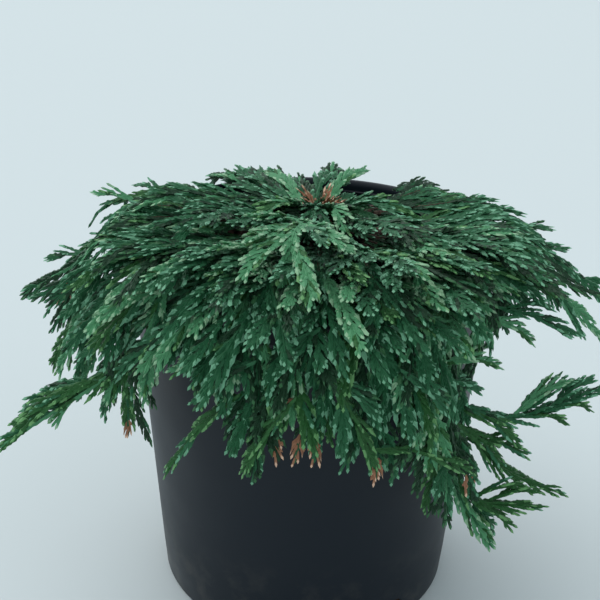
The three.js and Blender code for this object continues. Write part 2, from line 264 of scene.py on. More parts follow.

# Shoots placed where a plume's tip shows in the photograph, or to close a hole: bough, then azimuth,
# reach and height of the root, of a bend in some, and of the tip. The lowest are bright.
PLACED_ARCH = 0.08
BRIGHT_BELOW = 120
PLACED_SHOOTS = [
    ("right_foot", (308, 98, 99), (311, 104, 86), (320, 124, 83)),
    ("right_foot", (310, 103, 86), (318, 116, 92)),
    ("right_foot", (313, 108, 85), (320, 121, 90)),
    ("right_foot", (310, 103, 85), (315, 117, 77)),
    ("right_foot", (305, 96, 125), (320, 110, 93), (325, 128, 86)),
    ("right_foot", (308, 94, 127), (319, 112, 111)),
    ("right_foot", (308, 95, 120), (317, 108, 100)),
    ("right_foot", (309, 96, 112), (321, 114, 104)),
    ("right", (14, 90, 163), (8, 108, 169)),
    ("right", (10, 96, 156), (1, 113, 164)),
    ("right_back", (46, 62, 169), (43, 80, 173)),
    ("right_back", (33, 78, 168), (26, 94, 173)),
    ("right_back", (23, 84, 169), (17, 100, 171)),
    ("back_left", (123, 52, 175), (129, 74, 176)),
    ("back_left", (118, 52, 175), (125, 71, 177)),
    ("back_left", (104, 48, 176), (109, 64, 178)),
    ("left_back", (162, 84, 172), (164, 104, 176)),
    ("left_back", (156, 74, 174), (153, 92, 176)),
    ("left", (207, 92, 171), (205, 110, 149)),
    ("left", (213, 94, 166), (210, 111, 141)),
    ("left", (172, 84, 162), (175, 103, 158)),
    ("left", (183, 96, 158), (180, 117, 155)),
    ("right_foot", (297, 102, 154), (312, 107, 149)),
    ("right_foot", (297, 102, 147), (309, 104, 138)),
    ("right_low", (307, 94, 130), (319, 106, 119), (339, 133, 122)),
    ("right_low", (320, 107, 119), (331, 119, 130)),
    ("right_low", (323, 109, 119), (334, 121, 128)),
    ("right_low", (328, 116, 119), (337, 128, 127)),
    ("right_low", (323, 110, 118), (331, 121, 112)),
    ("right_low", (329, 118, 119), (336, 128, 115)),
    ("left_low", (221, 112, 135), (214, 143, 111)),
    ("left_low", (219, 118, 131), (213, 140, 115)),
    ("left_low", (256, 97, 181), (230, 113, 147)),
    ("left_low", (238, 93, 178), (219, 117, 143)),
    ("front_left", (257, 104, 168), (243, 111, 153)),
    ("front_left", (260, 107, 162), (248, 112, 143)),
    ("front_left", (257, 106, 148), (239, 107, 105)),
    ("front_low", (268, 108, 150), (257, 108, 115)),
    ("front", (272, 103, 175), (264, 112, 160)),
    ("front", (271, 108, 160), (282, 112, 144)),
    ("front", (274, 109, 155), (283, 111, 118)),
    ("front", (276, 109, 151), (276, 112, 127)),
    ("front_right", (284, 99, 182), (280, 111, 170)),
    ("front_right", (291, 100, 178), (302, 109, 161)),
    ("front_right", (287, 106, 158), (297, 111, 140)),
    ("front_right", (281, 109, 126), (306, 108, 106)),
    ("crown", (66, 8, 178), (64, 55, 184)),
    ("crown", (87, 8, 178), (83, 49, 182)),
    ("crown", (72, 8, 177), (69, 42, 181)),
    ("crown", (114, 8, 178), (111, 61, 179)),
    ("crown", (126, 8, 178), (123, 65, 177)),
    ("crown", (45, 4, 178), (340, 9, 187)),
    ("crown", (45, 4, 178), (50, 11, 187)),
    ("crown", (45, 4, 178), (150, 6, 188)),
    ("crown", (45, 4, 178), (290, 8, 188)),
    ("crown", (45, 4, 178), (230, 8, 187)),
    ("left", (216, 84, 179), (206, 102, 156)),
    ("left", (218, 88, 176), (209, 106, 153)),
    ("left_low", (241, 76, 180), (229, 97, 162)),
    ("left_low", (245, 83, 182), (233, 98, 163)),
    ("left_low", (235, 89, 171), (225, 106, 148)),
    ("left_low", (238, 86, 175), (227, 101, 157)),
    ("right_low", (316, 97, 168), (324, 110, 162), (329, 122, 154)),
    ("right_low", (318, 101, 167), (327, 111, 165)),
    ("right_foot", (311, 98, 166), (324, 108, 152)),
]

# Plumes that cross the rim at the back and hang behind the pot: azimuth on the rim, azimuth and height of
# the tip. They leave their boughs at one reach and height.
BACK_ROOT = (58, 175)
BACK_RISE = 3
BACK_REACH = 93
BACK_PLUMES = [
    (47, 40, 146), (49, 52, 138), (51, 62, 150), (81, 70, 148), (82, 79, 136), (83, 88, 144), (85, 96, 151),
    (110, 104, 147), (113, 112, 134), (118, 120, 143), (124, 131, 138), (145, 139, 149), (148, 149, 137),
]
BACK_BOUGHS = [(60, "right_back"), (100, "back_right"), (135, "back_left"), (180, "left_back")]

# Low sprays over the compost at the back, below the rim: their azimuths, then reach and height of the root,
# of the middle, which is turned a little, and of the tip. Every other one is shorter.
LOW_AZIMUTHS = range(24, 168, 9)
LOW_ROOT = (9, 170)
LOW_MIDDLE = (40, 167)
LOW_TURN = 4
LOW_REACH = 70
LOW_SHORTER = 9
LOW_HEIGHT = 157

MASS_SEED = 1000
SPRAY_SEED = 2000

# The camera of the photograph, found from the pot's rim, wall and foot.
CAMERA_TARGET = Vector((-0.0048, 0, 0.1371))
CAMERA_DISTANCE = 0.5079
CAMERA_ELEVATION = math.radians(24.92)
CAMERA_ROLL = math.radians(1.41)
CAMERA_LENS = 67.0
SENSOR_WIDTH = 36
SUN_PLACE = Vector((-0.55, 0.45, 1))
FLOOR_SIZE = 6


def linear(colour):
    """An sRGB hex colour such as "#2f6a4d" as linear red, green, blue and alpha."""
    parts = [int(colour[i : i + 2], 16) / 255 for i in (1, 3, 5)]
    return tuple(c / 12.92 if c <= 0.04045 else ((c + 0.055) / 1.055) ** 2.4 for c in parts) + (1.0,)


def node(tree, kind, links=(), **settings):
    """Adds a node. Settings are its own or those of its inputs, and links are (input, output)."""
    new = tree.nodes.new(kind)
    inputs = {each.identifier.replace(" ", "_"): each for each in new.inputs}
    for key, value in settings.items():
        if key in inputs:
            inputs[key].default_value = value
        else:
            setattr(new, key, value)
    for target, source in links:
        tree.links.new(source, inputs[target])
    return new


def material(name, colour, roughness, **settings):
    """A new material with its Principled shader, whose plain values are set on the shader itself."""
    made = bpy.data.materials.new(name)
    made.use_nodes = True
    tree = made.node_tree
    shader = tree.nodes["Principled BSDF"]
    shader.inputs["Base Color"].default_value = colour
    shader.inputs["Roughness"].default_value = roughness
    for key, value in settings.items():
        shader.inputs[key.replace("_", " ")].default_value = value
    return made, tree, shader


def grains(size):
    """The scale of a pattern whose grains have this size in mm."""
    return 1 / (size * MM)


def mix(a, b, t):
    return a + (b - a) * t


def smooth(low, high, x):
    t = np.clip((x - low) / (high - low), 0, 1)
    return t * t * (3 - 2 * t)


def unit(v):
    return v / np.linalg.norm(v, axis=-1, keepdims=True)


def dot(a, b):
    return np.sum(a * b, axis=-1, keepdims=True)


def wall_radius(height):
    return mix(FOOT_RADIUS, WALL_TOP_RADIUS, height / POT_HEIGHT)


# Growth: the rule of the part's source.
def chance(mass, shoot, purpose):
    """From 0 to 1, and always the same for one mass, shoot and purpose."""
    wave = np.sin(mass * 12.9898 + shoot * 78.233 + purpose * 37.719) * 43758.5453
    return wave - np.floor(wave)


def at(azimuth, reach, height, middle=np.zeros(3)):
    turn = math.radians(azimuth)
    return middle + np.array([reach * math.cos(turn), reach * math.sin(turn), height])


def trunk_heart(height):
    return CROWN * (height - COMPOST_TOP) / (TRUNK_TOP - COMPOST_TOP)


def through(stations):
    """A centripetal Catmull-Rom curve through the stations, as a function of shares from 0 to 1."""
    p = np.array(stations, float)
    p = np.vstack([2 * p[0] - p[1], p, 2 * p[-1] - p[-2]])
    gaps = np.linalg.norm(np.diff(p, axis=0), axis=1) ** 0.5
    spans = len(stations) - 1

    def place(t):
        x = np.atleast_1d(t) * spans
        i = np.minimum(x.astype(int), spans - 1)
        w = (x - i)[:, None]
        p0, p1, p2, p3 = (p[i + k] for k in range(4))
        d0, d1, d2 = (gaps[i + k][:, None] for k in range(3))
        leave = ((p1 - p0) / d0 - (p2 - p0) / (d0 + d1) + (p2 - p1) / d1) * d1
        arrive = ((p2 - p1) / d1 - (p3 - p1) / (d1 + d2) + (p3 - p2) / d2) * d1
        cubic = 2 * (p1 - p2) + leave + arrive
        square = 3 * (p2 - p1) - 2 * leave - arrive
        return p1 + w * leave + w**2 * square + w**3 * cubic

    return place


def bezier(*controls):
    """A Bezier curve of four control places, as a function of shares from 0 to 1."""
    n = len(controls) - 1

    def place(t):
        t = np.atleast_1d(t)[:, None]
        return sum(math.comb(n, k) * t**k * (1 - t) ** (n - k) * c for k, c in enumerate(controls))

    return place


def evenly(place, count, divisions=200):
    """Stations spaced evenly along a curve, their headings and the curve's length."""
    t = np.linspace(0, 1, divisions + 1)
    travelled = np.concatenate([[0], np.cumsum(np.linalg.norm(np.diff(place(t), axis=0), axis=1))])
    even = np.interp(np.linspace(0, travelled[-1], count), travelled, t)
    headings = unit(place(np.minimum(even + 1e-4, 1)) - place(np.maximum(even - 1e-4, 0)))
    return place(even), headings, travelled[-1]


def bough_azimuth(specs):
    first, last = (spec[4] if len(spec) > 4 else spec[0] for spec in (specs[0], specs[-1]))
    return first + ((last - first) % 360) / 2


def bough_course(number, azimuth):
    """A bough leaves the trunk nearly level, and is level again at its tip."""
    height = mix(LOWEST_BOUGH, HIGHEST_BOUGH, ((number * 5) % len(BOUGHS)) / (len(BOUGHS) - 1))
    tip = BOUGH_TIP_HEIGHTS[number % 2]
    heart = trunk_heart(height)
    return bezier(
        at(azimuth, TRUNK_RADIUS + CLEAR, height, heart * [1, 1, 0]),
        at(azimuth, BOUGH_REACH * 0.45, height + 0.5, heart * [1, 1, 0]),
        at(azimuth, BOUGH_REACH * 0.65, tip - 1, CROWN),
        at(azimuth, BOUGH_REACH, tip, CROWN),
    )


def stem_stations(start, crest_reach, azimuth, reach, crest, tip, elbow_azimuth=None, elbow=None):
    """A mass's stem runs from its root over its crest to its tip."""
    turn = azimuth if elbow is None else elbow_azimuth
    stations = [start, at(turn, crest_reach, crest)]
    if elbow is not None:
        stations.append(at(turn, ELBOW_REACH, elbow))
    return stations + [at(azimuth, reach, tip)]


def across(azimuth):
    turn = math.radians(azimuth)
    return np.array([-math.sin(turn), math.cos(turn), 0])


def all_masses():
    """Every mass of foliage: its node, bough, number, stem and the way across it."""
    masses = []

    def add(name, bough, start, crest_reach, spec):
        masses.append({
            "name": name,
            "bough": bough,
            "number": len(masses) + 1,
            "stem": through(stem_stations(start, crest_reach, *spec)),
            "across": across(spec[0]),
            "whole": len(spec) > 4 and spec[4] < WHOLE_BELOW,
        })

    for number, (bough, specs) in enumerate(BOUGHS.items()):
        ends, headings, _ = evenly(bough_course(number, bough_azimuth(specs)), 2)
        onward = headings[-1]
        sideways = unit(np.array([-onward[1], onward[0], 0]))
        for fork, spec in enumerate(specs):
            place = np.sign(fork - (len(specs) - 1) / 2)
            along = -FORK_BACK if place else CLEAR + 0.25
            start = ends[-1] + sideways * place * FORK + onward * along
            add(f"foliage_{bough}_{fork + 1}", bough, start, CREST_REACH, spec)
    for number, spec in enumerate(TUFTS):
        start = at(spec[0], TUFT_ROOT, TRUNK_TOP + CLEAR + STEM_UNDER + 0.1, CROWN)
        add(f"crown_tuft_{number + 1}", "crown", start, spec[1] * TUFT_CREST, spec)
    return masses


def face_of(sideways, along):
    """Foliage faces up where its stem runs level and outward where it hangs, turned a little to the front."""
    turn = FACE_FRONT * np.clip(-along[..., 2:] * 1.6, 0, 1)
    face = unit(np.cross(along, sideways)) + FRONT * turn
    return unit(face - along * dot(face, along))


def shoot_controls(mass, stem_length):
    """The three control places of each shoot of a mass, its face, its length and its share of the stem."""
    count = 2 * int(math.floor(stem_length / SHOOT_STEP / 2 + 0.5))
    index = np.arange(count)
    draws = [chance(mass["number"], index, purpose) for purpose in range(5)]
    t = mix(*SHOOT_SHARES, (index + SHOOT_JITTER * draws[1]) / (count - 1 + SHOOT_JITTER))
    stations, headings, _ = evenly(mass["stem"], 201)
    root, along = between(stations[None], 0, t), unit(between(headings[None], 0, t))
    side = np.array([1, -1, -1, 1])[index % 4]
    lean = np.where(index % 3 == 2, mix(*RAISED_LEANS, draws[2]), mix(*SHOOT_LEANS, draws[2]))
    lean = np.radians(lean)[:, None]
    out = face_of(mass["across"], along)
    away = np.cross(out, along) * side[:, None] * np.cos(lean) + out * np.sin(lean)
    angle = np.radians(SHOOT_ANGLE + mix(-SHOOT_SPREAD, SHOOT_SPREAD, draws[3]))[:, None]
    vigour = min(1, stem_length / FULL_STEM)
    length = SHOOT_LENGTH * vigour * mix(1, LAST_SHOOT, t) * mix(*SHOOT_VIGOUR, draws[4])
    heading = along * np.cos(angle) + away * np.sin(angle)
    middle = root + heading * length[:, None] * 0.5
    end = middle + (heading * 0.3 + along * 0.26 - UP * DROOP) * length[:, None]
    return root, middle, end, out, length, t


def between(values, owner, share):
    """Values by owner and evenly spaced station, read at shares from 0 to 1 of each owner's stations."""
    last = values.shape[1] - 1
    x = np.clip(share, 0, 1) * last
    i = np.minimum(x.astype(int), last - 1)
    w = (x - i)[..., None]
    return values[owner, i] * (1 - w) + values[owner, i + 1] * w


# Finer growth, in mm and degrees. An axis is a stem or a shoot, clad in scale leaves, with fingers on both
# sides that carry lobes of their own. Every fifth finger stands up.
STATIONS = 25
BLUE, DEEP, BRIGHT, NEW, DRY = range(5)
AGED = np.array([DEEP, BLUE, BLUE, BRIGHT, DRY])
AGED_SHARE = 0.14
DRY_SHARE = 0.85
STEM_STEP = 2.4
AXIS_STEP = 2.2
WIDE_FORWARD = 0.45
NARROW_BACK = 0.1
NARROW_WIDTH = 0.68
BLUNT_TIP = 0.95
AXIS_FLATNESS = 0.8
FINGER_FLATNESS = 0.76
FINGER_ANGLES = [17, 30]
FINGER_LEAN = [4, 12]
UPRIGHT_LEAN = [55, 14]
FINGER_SAG = 0.06
SHORTEST_FINGER = 3
# The share of a finger's length from which it takes the tip colour: young growth and painted highlight.
FINGER_TIP = 0.62
LOBE_ANGLES = [11, 22]
LOBE_LEAN = [8, 20]


class Sprays:
    """Axes of one kind: their places and faces by axis, station and coordinate. By axis are the length, the
    longest finger, the bare share at the root, half the width at root and tip, the colours of fingers and
    axis, and how far all this may reach past the outline."""

    def __init__(self, places, faces, length, finger, bare, half, colour, axis_colour, spare):
        self.places = places
        self.headings = unit(np.gradient(places, axis=1))
        self.faces = unit(faces - self.headings * dot(faces, self.headings))
        self.length, self.finger, self.bare, self.half = length, finger, bare, half
        self.colour, self.axis_colour, self.spare = colour, axis_colour, spare


class Fingers:
    """Fingers, each a shallow arc from its root: heading, bend, length, face and colour by finger."""

    def __init__(self, root, heading, bend, length, face, colour):
        self.root, self.heading, self.bend = root, heading, bend
        self.length, self.colour = length, colour
        self.face = unit(face - heading * dot(face, heading))

    def course(self, pick, v):
        """Places and headings at shares v of the picked fingers, by finger and station."""
        v = v[..., None]
        root, heading, bend = (values[pick, None] for values in (self.root, self.heading, self.bend))
        places = root + self.length[pick, None, None] * (v * heading + v**2 / 2 * bend)
        return places, unit(heading + v * bend)


def counted(counts):
    """The owner and running number of each item, where owner i has counts[i] of them."""
    owner = np.repeat(np.arange(len(counts)), counts)
    return owner, np.arange(counts.sum()) - np.repeat(np.cumsum(counts) - counts, counts)


def inside_pot(places):
    """True where a place is in the pot's wall or its compost."""
    x, y, z = np.moveaxis(places, -1, 0)
    reach = np.hypot(x, y)
    outer = np.where(z > POT_HEIGHT - BAND - 1, RIM_RADIUS, wall_radius(z)) + POT_CLEARANCE
    in_mouth = (reach < WALL_TOP_RADIUS - WALL - 2) & (z > COMPOST_TOP + 3)
    return (z < POT_HEIGHT + POT_CLEARANCE) & (reach < outer) & ~in_mouth


def ceiling(places):
    """The height of the crown's outline over each place."""
    azimuth = np.degrees(np.arctan2(places[..., 1], places[..., 0]))
    turns, *heights = zip(*OUTLINE)
    tops = np.stack([np.interp(azimuth, turns, each, period=360) for each in heights], axis=-1)
    x = np.interp(np.hypot(places[..., 0], places[..., 1]), OUTLINE_REACHES, range(len(OUTLINE_REACHES)))
    i = np.minimum(x.astype(int), len(OUTLINE_REACHES) - 2)
    inner = np.take_along_axis(tops, i[..., None], axis=-1)[..., 0]
    outer = np.take_along_axis(tops, i[..., None] + 1, axis=-1)[..., 0]
    return mix(inner, outer, x - i)


def settled(places):
    """Foliage settles a little, towards the crown's outline, and rests on the rim."""
    height = places[..., 2]
    reach = np.hypot(places[..., 0], places[..., 1])
    over_rim = smooth(*REST_FROM, reach) * (1 - smooth(*REST_TO, reach))
    rest = np.minimum(height, POT_HEIGHT + RIM_REST)
    lowered = height - np.clip(height - ceiling(places), 0, SETTLE)
    lowered = np.where(height > POT_HEIGHT, np.maximum(lowered, mix(lowered, rest, over_rim)), lowered)
    return np.concatenate([places[..., :2], lowered[..., None]], axis=-1)


def open_air(places, spare):
    """True where the photograph shows nothing growing. Spare is how far each path may reach past that."""
    azimuth = np.degrees(np.arctan2(places[..., 1], places[..., 0])) % 360
    reach, height = np.hypot(places[..., 0], places[..., 1]), places[..., 2]
    found = height > ceiling(places) + spare
    turns, lowest = zip(*LOWER_EDGE)
    in_front = (azimuth > turns[0]) & (azimuth < turns[-1]) & (reach > RIM_RADIUS)
    found |= in_front & (height < np.interp(azimuth, turns, lowest) - 2 * spare)
    for start, end, least, most, low, high in WINDOWS:
        inside = (azimuth > start) & (azimuth < end) & (height > low) & (height < high)
        found |= inside & (reach > least + spare) & (reach < most)
    return found


def trimmed(places, spare):
    """Paths cut where they would reach into the open, and the share of each that is left."""
    out = open_air(places, spare[:, None])
    out[:, :3] = False
    left = np.where(out.any(axis=1), out.argmax(axis=1) - 1, STATIONS - 1) / (STATIONS - 1)
    share = np.linspace(0, 1, STATIONS)[None] * left[:, None]
    return between(places, np.arange(len(places))[:, None], share), left


def braid(centre, along, side, rise, half, flat, step):
    """Scale leaves in crossing pairs round an axis: four corners a ring, the wide pair taking turns.
    Returns places and triangles for axes by ring, with a blunt tip."""
    axes, rings, _ = centre.shape
    odd = (np.arange(rings) % 2)[None, :, None, None]
    corner_side = np.array([1, 0, -1, 0])[None, None, :, None]
    corner_rise = np.array([0, 1, 0, -1])[None, None, :, None]
    lateral = np.abs(corner_side)
    wide = np.where(lateral == 1, 1 - odd, odd)
    reach = half[:, :, None, None] * np.where(wide == 1, 1.0, NARROW_WIDTH)
    reach = reach * np.where(lateral == 1, 1.0, flat)
    forward = np.where(wide == 1, WIDE_FORWARD, -NARROW_BACK) * step[:, None, None, None]
    ring = (
        centre[:, :, None]
        + side[:, :, None] * corner_side * reach
        + rise[:, :, None] * corner_rise * reach
        + along[:, :, None] * forward
    )
    tip = centre[:, -1:] + along[:, -1:] * step[:, None, None] * BLUNT_TIP
    places = np.concatenate([ring.reshape(axes, rings * 4, 3), tip], axis=1)
    faces = []
    for r in range(rings - 1):
        for c in range(4):
            a, b = r * 4 + c, r * 4 + (c + 1) % 4
            d, e = a + 4, b + 4
            narrow_is_a = (c % 2 == 0) == (r % 2 == 1)
            faces += [[a, b, e], [a, e, d]] if narrow_is_a else [[a, b, d], [b, e, d]]
    last = (rings - 1) * 4
    faces += [[last + c, last + (c + 1) % 4, rings * 4] for c in range(4)]
    faces += [[0, 2, 1], [0, 3, 2]]
    return places, np.array(faces)


def repeated(places, faces):
    """One list of places and one of triangles from a batch of like shapes."""
    count, corners, _ = places.shape
    offsets = (np.arange(count) * corners)[:, None, None]
    return places.reshape(-1, 3), (faces[None] + offsets).reshape(-1, 3)


def grow_axes(sprays, step, keep):
    """The scale-clad axes themselves."""
    chunks = []
    rings = np.maximum(4, np.round(sprays.length * (1 - sprays.bare) / step).astype(int))
    for n in np.unique(rings[keep]):
        pick = np.flatnonzero((rings == n) & keep)
        share = np.linspace(0, 1, n)[None] * (1 - sprays.bare[pick, None]) + sprays.bare[pick, None]
        centre, along, rise = (
            between(values, pick[:, None], share) for values in (sprays.places, sprays.headings, sprays.faces)
        )
        along, rise = unit(along), unit(rise)
        side = np.cross(along, rise)
        half = mix(sprays.half[pick, 0, None], sprays.half[pick, 1, None], share)
        half = half * mix(0.7, 1, smooth(0, 0.15, share)) * mix(1, 0.75, smooth(0.85, 1, share))
        steps = np.full(len(pick), float(step))
        places, faces = braid(centre, along, side, rise, half, AXIS_FLATNESS, steps)
        chunks.append((places, faces, sprays.axis_colour[pick], np.zeros(len(faces), int)))
    return chunks


def dry_at(places):
    """True where a place is in a patch of dead tips."""
    found = np.zeros(len(places), bool)
    for azimuth, reach, height, size in DRY_PLACES:
        found |= np.linalg.norm(places - at(azimuth, reach, height), axis=1) < size
    return found


def grow_fingers(sprays, settings, rng, keep):
    """Fingers stand on both sides of each axis in turn. They are clad like it, and carry lobes."""
    step = settings.finger_step / MM
    counts = np.maximum(3, np.round(sprays.length * (1 - sprays.bare) / step)).astype(int) * keep
    owner, number = counted(counts)
    total = len(owner)
    own = (number + rng.uniform(0.1, 0.9, total)) / counts[owner]
    share = mix(sprays.bare[owner], 1, own)
    root = between(sprays.places, owner, share)
    along = unit(between(sprays.headings, owner, share))
    face = unit(between(sprays.faces, owner, share))
    flip = np.where((number + owner) % 2 == 0, 1, -1)[:, None]
    upright = number % 5 == 4
    lean = np.where(upright, rng.normal(*UPRIGHT_LEAN, total), rng.normal(*FINGER_LEAN, total))
    lean = np.radians(lean)[:, None]
    away = np.cross(along, face) * flip * np.cos(lean) + face * np.sin(lean)
    angle = np.radians(rng.uniform(*FINGER_ANGLES, total))[:, None]
    heading = along * np.cos(angle) + away * np.sin(angle)
    bend = (along - heading) * 0.6 - UP * FINGER_SAG
    to_tip = sprays.length[owner] * (1 - share)
    length = np.minimum(sprays.finger[owner] * np.minimum(1, 0.6 + 1.6 * own), 3.5 + 0.5 * to_tip)
    length = length * rng.uniform(0.76, 1.12, total) * np.where(upright, 0.75, 1)
    colour = sprays.colour[owner]
    colour = np.where(rng.uniform(0, 1, total) < AGED_SHARE, AGED[colour], colour)
    colour = np.where(dry_at(root) & (rng.uniform(0, 1, total) < DRY_SHARE), DRY, colour)
    fingers = Fingers(root, heading, bend, np.maximum(SHORTEST_FINGER, length), face, colour)

    tests, _ = fingers.course(np.arange(total), np.tile([0.35, 0.7, 1.0], (total, 1)))
    spare = sprays.spare[owner, None] + FINGER_SPARE
    clear = ~inside_pot(tests).any(axis=1) & ~open_air(tests[:, 1:], spare).any(axis=1)
    return clad_fingers(settings, fingers, clear) + grow_lobes(settings, rng, fingers, clear)


def clad_fingers(settings, fingers, clear):
    """The fingers that are clear of the pot and of the open, with tips lighter as young growth and as painted
    highlight, and roots darker as painted shade.
    """
    chunks = []
    rings = np.clip(np.round(fingers.length / (settings.scale_length / MM)).astype(int), 3, 10)
    for n in np.unique(rings[clear]):
        pick = np.flatnonzero((rings == n) & clear)
        v = np.tile(np.linspace(0, 1, n), (len(pick), 1))
        centre, heads = fingers.course(pick, v)
        side = unit(np.cross(heads, fingers.face[pick, None]))
        up = np.cross(side, heads)
        length, colour = fingers.length[pick], fingers.colour[pick]
        half = settings.finger_width / MM / 2 * mix(0.8, 1.08, smooth(3, 11, length))[:, None]
        half = half * mix(0.62, 1, smooth(0, 0.4, v)) * mix(1, 0.8, smooth(0.7, 1, v))
        half = half * np.where(colour == DRY, 0.75, 1)[:, None]
        places, faces = braid(centre, heads, side, up, half, FINGER_FLATNESS, length / (n - 1))
        number = np.arange(len(faces))
        is_tip = (np.minimum(number // 8, n - 1) >= FINGER_TIP * n) & (number < len(faces) - 2)
        chunks.append((places, faces, colour, is_tip.astype(int)))
    return chunks


LOBE_FACES = np.array(
    [[c, (c + 1) % 4, 4 + c] for c in range(4)]
    + [[(c + 1) % 4, 4 + (c + 1) % 4, 4 + c] for c in range(4)]
    + [[4 + c, 4 + (c + 1) % 4, 8] for c in range(4)]
)


def grow_lobes(settings, rng, fingers, clear):
    """A lobe is the shortest twig, a few scale leaves that hug a finger's side."""
    step = settings.lobe_step / MM
    counts = np.floor(np.maximum(0, fingers.length - 1.5) / step).astype(int) * clear
    finger, number = counted(counts)
    total = len(finger)
    v = (number + 0.45 + rng.uniform(-0.2, 0.2, total)) * step / fingers.length[finger]
    root, along = (values[:, 0] for values in fingers.course(finger, v[:, None]))
    side = unit(np.cross(along, fingers.face[finger]))
    up = np.cross(side, along)
    flip = np.where((number + finger) % 2 == 0, 1, -1)[:, None]
    angle = np.radians(rng.uniform(*LOBE_ANGLES, total))[:, None]
    lean = np.radians(rng.normal(*LOBE_LEAN, total))[:, None]
    heading = along * np.cos(angle) + (side * flip * np.cos(lean) + up * np.sin(lean)) * np.sin(angle)
    own_rise = unit(up - heading * dot(up, heading))
    own_side = np.cross(heading, own_rise)
    size = settings.lobe_length / MM * mix(1, 0.66, v) * rng.uniform(0.75, 1.15, total)
    half = settings.lobe_width / MM / 2
    corners = []
    for share, spread in ((0.0, 0.6), (0.66, 1.0)):
        for a, b in ((1, 0), (0, 1), (-1, 0), (0, -1)):
            corners.append(
                root + heading * (size * share)[:, None]
                + own_side * a * half * spread + own_rise * b * half * 0.75 * spread
            )
    corners.append(root + heading * size[:, None])
    places = np.stack(corners, axis=1)
    # Young lobes end in the tip colour, which is young growth and painted highlight.
    light_tip = np.repeat([0, 1], [8, 4])
    young = v > settings.young_and_highlight_share
    colour = fingers.colour[finger]
    return [
        (places[young], LOBE_FACES, colour[young], light_tip),
        (places[~young], LOBE_FACES, colour[~young], np.zeros(12, int)),
    ]


def tubes(places, headings, rises, radius, sides=6):
    """Round twigs by axis and ring, closed at both ends with a fan."""
    axes, rings, _ = places.shape
    side = unit(np.cross(headings, rises))
    rise = np.cross(side, headings)
    turn = (np.arange(sides) * 2 * np.pi / sides)[None, None, :, None]
    outward = side[:, :, None] * np.cos(turn) + rise[:, :, None] * np.sin(turn)
    ring = places[:, :, None] + radius[:, :, None, None] * outward
    faces = []
    for r in range(rings - 1):
        for c in range(sides):
            a, b = r * sides + c, r * sides + (c + 1) % sides
            faces += [[a, b, b + sides], [a, b + sides, a + sides]]
    last = (rings - 1) * sides
    faces += [[0, c + 1, c] for c in range(1, sides - 1)]
    faces += [[last, last + c, last + c + 1] for c in range(1, sides - 1)]
    return ring.reshape(axes, rings * sides, 3), np.array(faces)


def joined(name, chunks, materials):
    """One object from chunks of places in mm, triangles and the material number of each triangle."""
    places, faces, looks, offset = [], [], [], 0
    for chunk_places, chunk_faces, chunk_looks in chunks:
        places.append(chunk_places)
        faces.append(chunk_faces + offset)
        looks.append(chunk_looks)
        offset += len(chunk_places)
    places, faces, looks = (np.concatenate(each) for each in (places, faces, looks))
    mesh = bpy.data.meshes.new(name)
    mesh.vertices.add(len(places))
    mesh.vertices.foreach_set("co", (places * MM).astype(np.float32).ravel())
    mesh.loops.add(faces.size)
    mesh.loops.foreach_set("vertex_index", faces.astype(np.int32).ravel())
    mesh.polygons.add(len(faces))
    mesh.polygons.foreach_set("loop_start", np.arange(0, faces.size, 3, dtype=np.int32))
    mesh.polygons.foreach_set("material_index", looks.astype(np.int32))
    for each in materials:
        mesh.materials.append(each)
    mesh.update(calc_edges=True)
    mesh.shade_flat()
    made = bpy.data.objects.new(name, mesh)
    bpy.context.scene.collection.objects.link(made)
    return made


def finish_piece(piece, slot, *nodes):
    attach(piece, "root")
    if nodes:
        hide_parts(*nodes)
    return piece


def put_in_order(bm):
    """Sorts corners and faces by place, because the operators leave them in another order each run."""
    for number, vert in enumerate(sorted(bm.verts, key=lambda vert: tuple(vert.co))):
        vert.index = number
    by_corners = sorted(bm.faces, key=lambda face: sorted(vert.index for vert in face.verts))
    for number, face in enumerate(by_corners):
        face.index = number
    bm.verts.sort()
    bm.faces.sort()


def piece_from(bm, name, look, smooth_faces=True):
    """An object from a bmesh in metres."""
    put_in_order(bm)
    mesh = bpy.data.meshes.new(name)
    for face in bm.faces:
        face.smooth = smooth_faces
    bm.to_mesh(mesh)
    bm.free()
    mesh.materials.append(look)
    made = bpy.data.objects.new(name, mesh)
    bpy.context.scene.collection.objects.link(made)
    return made


def turned(profile, steps):
    """A bmesh in metres, turned full circle from a profile of radii and heights in mm."""
    bm = bmesh.new()
    line = [bm.verts.new((radius * MM, 0, height * MM)) for radius, height in profile]
    edges = [bm.edges.new(pair) for pair in zip(line, line[1:])]
    bmesh.ops.spin(
        bm, geom=line + edges, cent=(0, 0, 0), axis=(0, 0, 1), angle=math.tau, steps=steps, use_merge=True
    )
    bmesh.ops.remove_doubles(bm, verts=bm.verts, dist=TOUCH)
    bmesh.ops.recalc_face_normals(bm, faces=bm.faces)
    return bm


def edges_of(verts):
    """The edges of some corners, each once and always in one order."""
    return list(dict.fromkeys(edge for vert in verts for edge in vert.link_edges))


def length_property(name, description, millimetres):
    return FloatProperty(
        name=name, description=description, default=millimetres * MM, min=0, subtype="DISTANCE", unit="LENGTH"
    )


def colour_property(name, description, colour):
    return FloatVectorProperty(
        name=name, description=description, default=linear(colour), size=4, min=0, max=1, subtype="COLOR"
    )


class JuniperPotSettings(bpy.types.PropertyGroup):
    rim_radius: length_property("Rim radius", "Outer radius of the rolled rim", RIM_RADIUS)
    turns: IntProperty(name="Turns", description="Flat sides round the turned wall", default=160, min=24)
    plastic: colour_property("Plastic", "Colour of the black polyethylene", "#0a151f")
    dust: colour_property("Dust", "Colour of the dry compost dust near the foot", "#5d5a52")


class JuniperCompostSettings(bpy.types.PropertyGroup):
    relief: length_property("Relief", "How far the compost's surface rises and falls", 1.6)
    chips: IntProperty(name="Bark chips", description="Count of loose chips on top", default=320, min=0)
    chip_length: length_property("Chip length", "Longest bark chip", 9)
    peat: colour_property("Peat", "Colour of the fine compost", "#20160f")
    bark: colour_property("Bark", "Colour of the composted bark", "#4a3526")


